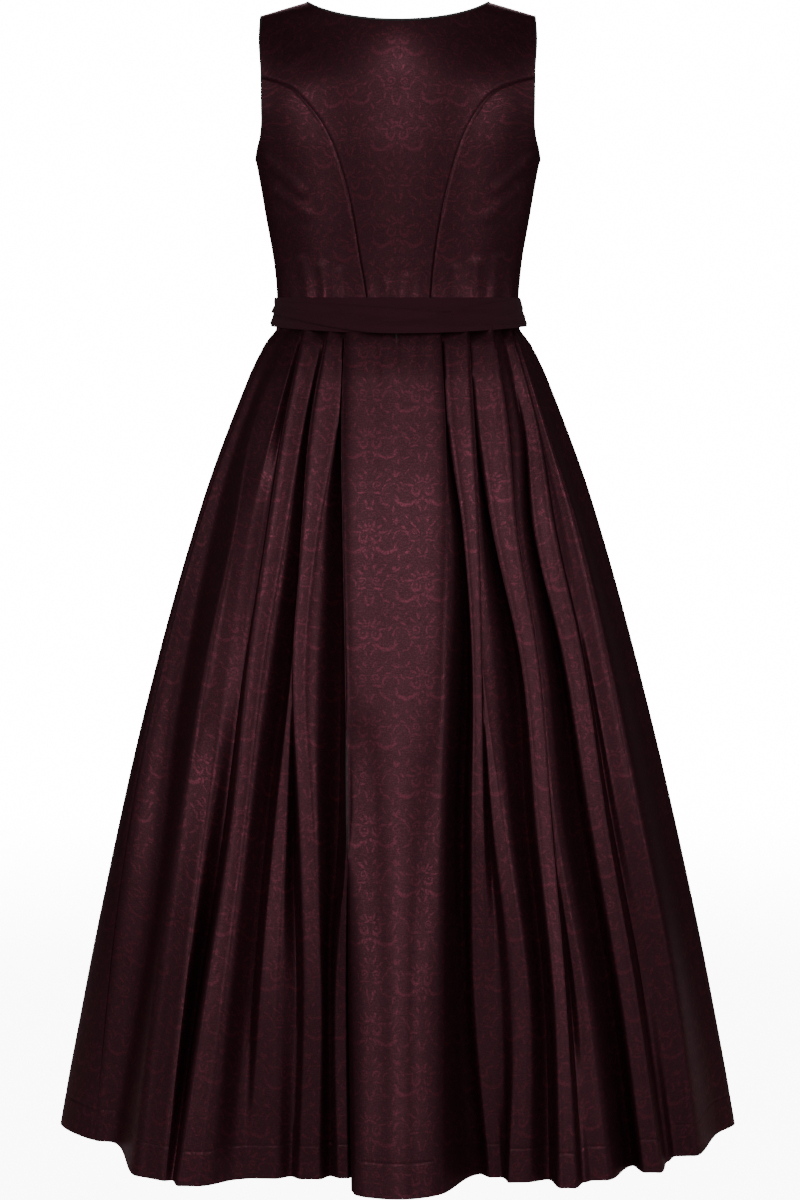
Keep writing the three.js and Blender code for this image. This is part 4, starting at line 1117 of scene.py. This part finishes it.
def armhole_spots(back, sides, front, mirror):
    """Spots down the back strap's edge, round under the arm and up the front strap's edge."""
    top = len(back[0]) - 1
    edge, inward = (-1, -1) if mirror > 0 else (0, 1)
    spots = edge_spots(back, np.arange(top, PANEL_ROWS - 1, -1), edge, (0, inward))
    columns = np.arange(SIDE_COLUMNS)
    for grid, places in zip(sides, (columns, columns[-2::-1])):
        spots += edge_spots(grid, -1, places, (-1, 0))
    return spots + edge_spots(front, np.arange(PANEL_ROWS, top), -1, (0, -1))


def neck_spots(back, fronts):
    """Spots up the right front's neck edge, round the back neck and down the left front's."""
    columns = np.arange(FRONT_NECK_STEPS.index(NECK_HALF_WIDTH) * FRONT_NECK_FINER)
    strap = (len(BACK_NECK_STEPS) - 1 - BACK_NECK_STEPS.index(NECK_HALF_WIDTH)) * BACK_NECK_FINER
    across = np.arange(back[0].shape[1] - 1 - strap, strap - 1, -1)
    spots = edge_spots(fronts["right"], -1, columns, (-1, 0))
    spots += edge_spots(back, -1, across, (-1, 0))
    return spots + edge_spots(fronts["left"], -1, columns[::-1], (-1, 0))


def bodice(paint):
    cloth = (paint["satin"], paint["satin_back"])
    back, parts = back_centre()
    dress(shell("satin_back_centre", *parts), "bodice_back_centre", cloth)
    fronts = {}
    for hand, mirror in (("left", -1), ("right", 1)):
        sides = []
        for side in (BACK, FRONT):
            grid, parts = side_panel(side, hand, mirror)
            sides.append(grid)
            name = f"{side['name']}_side_{hand}"
            dress(shell(f"satin_{name}", *parts), f"bodice_{name}", cloth)
        fronts[hand], parts = front_centre(hand, mirror)
        dress(shell(f"satin_front_centre_{hand}", *parts), f"bodice_front_centre_{hand}", cloth)
        spots = armhole_spots(back, sides, fronts[hand], mirror)
        piping = tube(f"armhole_cord_{hand}", cord_path(spots, ARMHOLE_CORD), ARMHOLE_CORD, True)
        dress(piping, f"armhole_piping_{hand}", (paint["cord"],))
    piping = tube("neck_cord", cord_path(neck_spots(back, fronts), NECK_CORD), NECK_CORD, False)
    dress(piping, "neck_piping", (paint["cord"],))


def skirt_rows():
    """Heights of the skirt's rows: close under the sash and round the hem's stitch line."""
    heights = [np.array([WAIST])]
    for low, steps in SKIRT_ROW_STEPS:
        heights.append(np.linspace(heights[-1][-1], low, steps + 1)[1:])
    return np.concatenate(heights)


def back_places():
    """Where the columns of the skirt back stand, counted in points, with the centre panel's middle."""
    steps = [SIDE_STEPS] * len(LEFT_SIDE_LINES)
    for k, pleat in enumerate(PLEATS):
        steps += [CENTRE_FACE_COLUMNS if k == CENTRE_PANEL else FACE_COLUMNS] * FACE_STEPS
        if pleat[-1] == "next":
            steps += [FLANK_COLUMNS] * FLANK_STEPS + [EDGE_COLUMNS]
        elif pleat[-1] == "own":
            steps += [EDGE_COLUMNS] + [FLANK_COLUMNS] * FLANK_STEPS
    steps += [SIDE_STEPS] * len(RIGHT_SIDE_LINES)
    places = [i + j / count for i, count in enumerate(steps) for j in range(count)] + [float(len(steps))]
    per_pleat = FACE_STEPS + FLANK_STEPS + 1
    middle = len(LEFT_SIDE_LINES) + CENTRE_PANEL * per_pleat + FACE_STEPS / 2
    return np.array(places), middle


def skirt(name, places, centre, creases, seed, shift):
    """One skirt piece over columns at these places, its cloth measured from the centre's column."""
    z = skirt_rows()
    point, out = skirt_surface(places, z)
    arc = lengths(point, 1)
    middle = int(np.argmin(np.abs(places - centre)))
    arc = arc - arc[:, [middle]] + point[:, [middle], 0]
    relief = skirt_relief(point, arc, creases, seed)
    for edge in (0, -1):
        near = np.abs(arc - arc[:, [edge]])
        relief = relief - SKIRT_EDGE_DIP[0] * np.clip(1 - near / SKIRT_EDGE_DIP[1], 0, 1) ** 1.5
    outer = point + out * relief[..., None]
    thick = SKIRT_CLOTH + HEM_EXTRA * ease((HEM + HEM_DEPTH + 1 - z) / 2)
    inner = point - out * thick[:, None, None]
    down = lengths(point, 0)
    uv = np.stack([arc + shift[0], shift[1] - down], axis=-1)
    return shell(name, outer, inner, uv)


def skirts(paint):
    """Both skirt pieces; gives the place of the front's middle, where the sash ends hang."""
    cloth = (paint["satin"], paint["satin_back"])
    places, middle = back_places()
    back = skirt("satin_skirt_back", places, middle, BACK_CREASES, 11, PATTERN_PLACE["skirt back"])
    dress(back, "skirt_back", cloth)
    start = places[-1]
    folds = len(FRONT_LINES) + 1
    places = start + np.linspace(0, folds, folds * FRONT_COLUMNS_PER_FOLD + 1)
    middle = start + 1 + FRONT_CENTRE
    front = skirt("satin_skirt_front", places, middle, [], 21, PATTERN_PLACE["skirt front"])
    dress(front, "skirt_front", cloth)
    return middle


def sash_surface(turn, share, off):
    """Points of the sash by turn and share of its height, so far off its plain form."""
    behind = np.cos(turn) > 0
    lowest = np.where(behind, SASH_BOTTOM["back"], SASH_BOTTOM["front"])
    bottom = SASH_BOTTOM["side"] + (lowest - SASH_BOTTOM["side"]) * np.cos(turn) ** 2
    z = bottom + (SASH_TOP - bottom) * share
    wide = column(SASH, "wide", z) + off
    deep = np.where(behind, column(SASH, "back", z), column(SASH, "front", z)) + off
    return np.stack([wide * np.sin(turn), -deep * np.cos(turn), z], axis=-1)


def sash_band(paint):
    turn, share = np.meshgrid(np.linspace(-math.pi, math.pi, SASH_ROUND, endpoint=False),
                              np.linspace(0, 1, SASH_ROWS))
    degrees = np.degrees(turn)
    tall = SASH_TOP - SASH_BOTTOM["back"]
    relief = np.full(turn.shape, SASH_RELIEF["start"])
    for turns, shares, rise, above, below in SASH_FOLDS:
        off = (share - through([-t for t in turns], shares, -degrees)) * tall
        past = np.maximum(turns[0] - degrees, degrees - turns[-1])
        fade = 1 - ease(past / SASH_FOLD_END)
        relief = relief + rise * fade * np.where(off > 0, np.exp(-off / above), np.exp(off / below))
    relief = relief + SASH_RELIEF["slack"] * uneven(turn * 14, share * 5, 31)
    for from_edge in (share * tall, (1 - share) * tall):
        relief = relief - SASH_RELIEF["edge_dip"] * np.exp(-from_edge / SASH_RELIEF["edge_reach"])
    relief = np.clip(relief, SASH_RELIEF["least"], SASH_RELIEF["most"])
    outer = sash_surface(turn, share, relief)
    inner = sash_surface(turn, share, -SASH_CLOTH)
    ring = np.concatenate([outer, outer[:, :1]], axis=1)
    uv = np.stack([lengths(ring, 1), lengths(ring, 0)], axis=-1)
    piece = shell("sash_wound_band", outer, inner, uv, ring=True)
    dress(piece, "sash_band", (paint["sash"], paint["sash"]))


def sash_knot(paint):
    """A turn of the sash drawn over its own ends, with folds up and down it."""
    tick = np.linspace(-1, 1, 61)
    u, v = np.meshgrid(tick, tick)
    dome = np.sqrt(np.maximum(0, (1 - u ** 4) * (1 - v ** 4)))
    x = KNOT["half_width"] * np.sin(u * math.pi / 2) * (1 - KNOT["pinch"] * v * v)
    x = x * np.sqrt(1 - v * v / KNOT_CORNER)
    z = KNOT["z"] + KNOT["half_height"] * np.sin(v * math.pi / 2) * np.sqrt(1 - u * u / KNOT_CORNER)
    flat = column(SASH, "front", z) + KNOT["seat"] + LAYER_GAP
    # The folds run up and down, closer together at the bottom, with a slight slant and sway
    fan = u * (1 - 0.35 * v) + 0.16 * v + 0.05 * np.sin(3 * v)
    fold = sum(rise * np.cos(count * fan + start) for rise, count, start in KNOT_FOLDS)
    front = flat + KNOT["edge"] + dome * (KNOT["depth"] + fold)
    outer = np.stack([x, front, z], axis=-1)
    inner = np.stack([x, flat, z], axis=-1)
    uv = np.stack([lengths(outer, 1), lengths(outer, 0)], axis=-1)
    piece = shell("sash_wrapped_knot", outer, inner, uv)
    dress(piece, "sash_knot", (paint["sash"], paint["sash"]))


def sash_ends(paint, front_middle):
    """Two ends that hang over the skirt front, pleated by the knot and flatter and waved lower down."""
    share = np.linspace(0, 1, 27)
    tick = np.linspace(0, 1, 90)
    for name, near, far, bottom, slant in SASH_ENDS:
        layers = []
        for off in (SASH_END["gap"] + SASH_END["cloth"], SASH_END["gap"]):
            point = np.zeros((len(tick), len(share), 3))
            for j, s in enumerate(share):
                low = bottom - slant * s
                z = SASH_END["top"] + (low - SASH_END["top"]) * tick
                spot, out = skirt_surface(np.array([front_middle + near + (far - near) * s]), z)
                lift = SASH_END["lift"] * np.exp((z - SASH_END["top"]) / SASH_END["settle"])
                wave = SASH_END["wave"] * tick * (1 - np.cos(2 * math.pi * s))
                fold = (1 - 0.75 * tick) * (0.8 * np.cos(13 * s + 2 * tick) + 0.4 * np.cos(25 * s))
                reach = off + lift + wave + np.maximum(0, 0.5 + 0.8 * fold)
                point[:, j] = spot[:, 0] + out[:, 0] * reach[:, None]
            layers.append(point)
        uv = np.stack([lengths(layers[0], 1), lengths(layers[0], 0)], axis=-1)
        piece = shell(f"hanging_{name}", layers[0], layers[1], uv)
        dress(piece, name, (paint["sash"], paint["sash"]))


def front_strip(paint):
    """Placket strip with its topstitching."""
    x = np.linspace(-PLACKET_HALF_WIDTH, PLACKET_HALF_WIDTH, 19)
    high = neck_height(FRONT, x)
    share = np.linspace(0, 1, 90)[:, None]
    foot = SASH_TOP + LAYER_GAP
    z = foot + (high[None] - foot) * share
    point, out = on_torso(FRONT, degrees_at(np.broadcast_to(x, z.shape), z), z)
    away = PLACKET_HALF_WIDTH - np.abs(point[..., 0])
    stitched = np.exp(-((away - STITCH["inset"]) / STITCHED_DIP[1]) ** 2)
    rounded = np.clip(1 - away / ROUNDED_EDGE[1], 0, 1) ** 2
    relief = slack("placket", x, z, 41) - STITCHED_DIP[0] * stitched - ROUNDED_EDGE[0] * rounded
    outer = point + out * (LAYER_GAP + PLACKET_CLOTH + relief)[..., None]
    inner = point + out * LAYER_GAP
    uv = np.stack([lengths(outer, 1), lengths(outer, 0)], axis=-1)
    piece = shell("satin_front_strip", outer, inner, uv)
    dress(piece, "front_placket", (paint["satin"], paint["satin_back"]))
    starts = np.arange(foot + 2, float(neck_height(FRONT, 0)) - 3, STITCH["length"] + STITCH["gap"])
    rise = LAYER_GAP + PLACKET_CLOTH - STITCH["sunk"] + np.array(STITCH["arch"])[:, None]
    runs = []
    for hand in (-1, 1):
        line = np.full(3, hand * (PLACKET_HALF_WIDTH - STITCH["inset"]))
        for start in starts:
            heights = start + np.array([0, 0.5, 1]) * STITCH["length"]
            place, off = on_torso(FRONT, degrees_at(line, heights), heights)
            runs.append(place + off * rise)
    stitches("placket_stitches", runs, paint)


def stitches(name, runs, paint):
    """Short thread stitches, each over three points."""
    sides = STITCH_SIDES
    turn = np.linspace(0, 2 * math.pi, sides, endpoint=False)
    points, faces = [], []
    for run in runs:
        ahead = unit(run[2] - run[0])
        slanted = (0.2, 0.1, 0.9) if abs(ahead[2]) < 0.9 else (1, 0, 0)
        side = unit(np.cross(ahead, slanted))
        over = np.cross(side, ahead)
        ring = side * np.cos(turn)[:, None] + over * np.sin(turn)[:, None]
        base = sum(len(part) for part in points)
        points.append(np.concatenate([spot + ring * STITCH["radius"] * size
                                      for spot, size in zip(run, STITCH_TAPER)]))
        for k in range(2):
            for j in range(sides):
                a, b = base + k * sides + j, base + k * sides + (j + 1) % sides
                faces.append((a + sides, b + sides, b, a))
        faces.append([base + j for j in range(sides)])
        faces.append([base + 2 * sides + j for j in range(sides)][::-1])
    piece = mesh_object(name, np.concatenate(points), faces)
    dress(piece, None, (paint["thread"],))


def button_blank():
    """Turned button with a raised rim, a dished middle and four sewing holes, modelled once."""
    bpy.ops.object.select_all(action="DESELECT")
    size = {name: value * MM for name, value in BUTTON.items()}
    bpy.ops.mesh.primitive_cylinder_add(vertices=40, radius=size["radius"], depth=size["height"],
                                        location=(0, 0, size["height"] / 2))
    blank = bpy.context.object
    blank.name = "button_blank"
    bpy.ops.object.transform_apply(location=True, rotation=True, scale=True)
    bpy.ops.object.mode_set(mode="EDIT")
    bpy.ops.mesh.select_all(action="DESELECT")
    bpy.ops.object.mode_set(mode="OBJECT")
    for face in blank.data.polygons:
        face.select = face.normal.z > 0.9
    bpy.ops.object.mode_set(mode="EDIT")
    bpy.ops.mesh.inset(thickness=size["rim"])
    bpy.ops.mesh.inset(thickness=size["slope"])
    bpy.ops.transform.translate(value=(0, 0, -size["dish"]))
    bpy.ops.mesh.inset(thickness=size["floor"])
    bpy.ops.transform.translate(value=(0, 0, -size["floor_dip"]))
    bpy.ops.object.mode_set(mode="OBJECT")
    bevel = blank.modifiers.new("rounded", "BEVEL")
    bevel.width = size["bevel"]
    bevel.segments = 3
    bevel.limit_method = "ANGLE"
    bevel.angle_limit = math.radians(35)
    bpy.ops.object.modifier_apply(modifier=bevel.name)
    for k in range(4):
        turn = math.radians(45 + 90 * k)
        place = Vector((math.cos(turn), math.sin(turn), 0)) * size["hole_reach"]
        bpy.ops.mesh.primitive_cylinder_add(vertices=14, radius=size["hole"], depth=size["hole_depth"],
                                            location=place + Vector((0, 0, size["hole_middle"])))
        hole = bpy.context.object
        cut = blank.modifiers.new("hole", "BOOLEAN")
        cut.operation = "DIFFERENCE"
        cut.object = hole
        bpy.ops.object.select_all(action="DESELECT")
        bpy.context.view_layer.objects.active = blank
        bpy.ops.object.modifier_apply(modifier=cut.name)
        bpy.data.objects.remove(hole, do_unlink=True)
    sharpen(blank, 40)
    return blank


def buttons(paint):
    """Six buttons down the placket, each with its crossed threads and the bars of its buttonhole."""
    blank = button_blank()
    reach, low, high = (BUTTON[name] for name in ("thread_reach", "thread_low", "thread_high"))
    crossed = [((-reach, hand * -reach, low), (0, 0, high), (reach, hand * reach, low)) for hand in (1, -1)]
    bars = [[(hand * x, 0, z) for x, z in BUTTONHOLE_BAR] for hand in (-1, 1)]
    runs = []
    for k, z in enumerate(np.linspace(BUTTON_ROW["first"], BUTTON_ROW["last"], BUTTON_ROW["count"])):
        point, out = on_torso(FRONT, np.zeros(1), np.array([z]))
        away = unit(out[0] * (0, 1, 1))
        seat = point[0] + away * (LAYER_GAP + PLACKET_CLOTH + BUTTON["lift"])
        tilt = Vector((0, 0, 1)).rotation_difference(Vector(away)).to_matrix().to_4x4()
        place = Matrix.Translation(Vector(seat * MM)) @ tilt @ Matrix.Rotation(BUTTON_ROW["turn"] * k, 4, "Z")
        mesh = blank.data.copy()
        mesh.transform(place)
        piece = bpy.data.objects.new(f"horn_button_{k + 1}", mesh)
        bpy.context.scene.collection.objects.link(piece)
        dress(piece, f"button_{k + 1}", (paint["horn"],))
        for run in crossed + bars:
            runs.append(np.array([place @ (Vector(spot) * MM) for spot in run]) / MM)
    bpy.data.objects.remove(blank, do_unlink=True)
    stitches("button_thread", runs, paint)


# Camera, light and floor

def camera():
    lens = bpy.data.cameras.new("photo camera")
    lens.lens = CAMERA_LENS
    lens.sensor_width = SENSOR
    lens.clip_end = 60
    holder = bpy.data.objects.new("photo camera", lens)
    holder.location = CAMERA_PLACE
    holder.rotation_euler = (math.radians(90 - CAMERA_PITCH), 0, 0)
    bpy.context.scene.collection.objects.link(holder)
    bpy.context.scene.camera = holder


def softbox(name, place, aim, size, watts):
    light = bpy.data.lights.new(name, "AREA")
    light.shape = "RECTANGLE"
    light.size, light.size_y = size
    light.energy = watts
    holder = bpy.data.objects.new(name, light)
    holder.location = place
    holder.rotation_euler = (Vector(aim) - Vector(place)).to_track_quat("-Z", "Y").to_euler()
    bpy.context.scene.collection.objects.link(holder)


def studio():
    """Softboxes, and a pale studio that the camera sees bright and the cloth hardly feels."""
    for name, (x, y, z), aim, size, watts in SOFTBOXES:
        for hand in (-1, 1) if x else (1,):
            softbox(name, (hand * x, y, z), aim, size, watts)
    world = bpy.data.worlds.new("pale studio")
    world.use_nodes = True
    tree = world.node_tree
    seen = tree.nodes["Background"]
    felt = tree.nodes.new("ShaderNodeBackground")
    for sky, strength in ((seen, SEEN_STUDIO), (felt, FELT_STUDIO)):
        sky.inputs["Color"].default_value = (1, 1, 1, 1)
        sky.inputs["Strength"].default_value = strength
    mix = tree.nodes.new("ShaderNodeMixShader")
    path = tree.nodes.new("ShaderNodeLightPath")
    tree.links.new(path.outputs["Is Camera Ray"], mix.inputs[0])
    tree.links.new(felt.outputs[0], mix.inputs[1])
    tree.links.new(seen.outputs[0], mix.inputs[2])
    tree.links.new(mix.outputs[0], tree.nodes["World Output"].inputs["Surface"])
    bpy.context.scene.world = world
    floor()


def floor():
    """Plain pale floor that fades out into the pale studio."""
    bpy.ops.object.select_all(action="DESELECT")
    middle = (0, 0, FLOOR["height"])
    bpy.ops.mesh.primitive_circle_add(vertices=96, radius=FLOOR["radius"], fill_type="NGON", location=middle)
    plane = bpy.context.object
    plane.name = "studio_floor"
    bpy.ops.object.transform_apply(location=True, rotation=True, scale=True)
    material, tree, shader, place = surface("pale floor", "object")
    away = length_of(tree, placed(tree, place, middle))
    shader.inputs["Base Color"].default_value = FLOOR["grey"]
    shader.inputs["Roughness"].default_value = 0.9
    shader.inputs["Emission Color"].default_value = (1, 1, 1, 1)
    path = tree.nodes.new("ShaderNodeLightPath")
    put(tree, shader.inputs["Emission Strength"],
        calc(tree, "MULTIPLY", path.outputs["Is Camera Ray"], FLOOR["glow"] * SEEN_STUDIO))
    put(tree, shader.inputs["Alpha"], spread(tree, away, *FLOOR["fade"]))
    plane.data.materials.append(material)
    plane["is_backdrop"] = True


camera()
studio()
jacquard = jacquard_group()
paint = {
    "satin": satin(jacquard), "satin_back": satin_back(jacquard), "sash": sash_cloth(),
    "cord": cord_cloth(), "horn": horn(), "thread": sewing_thread(),
}
bodice(paint)
front_middle = skirts(paint)
sash_band(paint)
sash_knot(paint)
sash_ends(paint, front_middle)
front_strip(paint)
buttons(paint)

boxes = {"cad": cad_box, "visual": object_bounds()}
boxes = {name: [list(map(float, corner)) for corner in box] for name, box in boxes.items()}
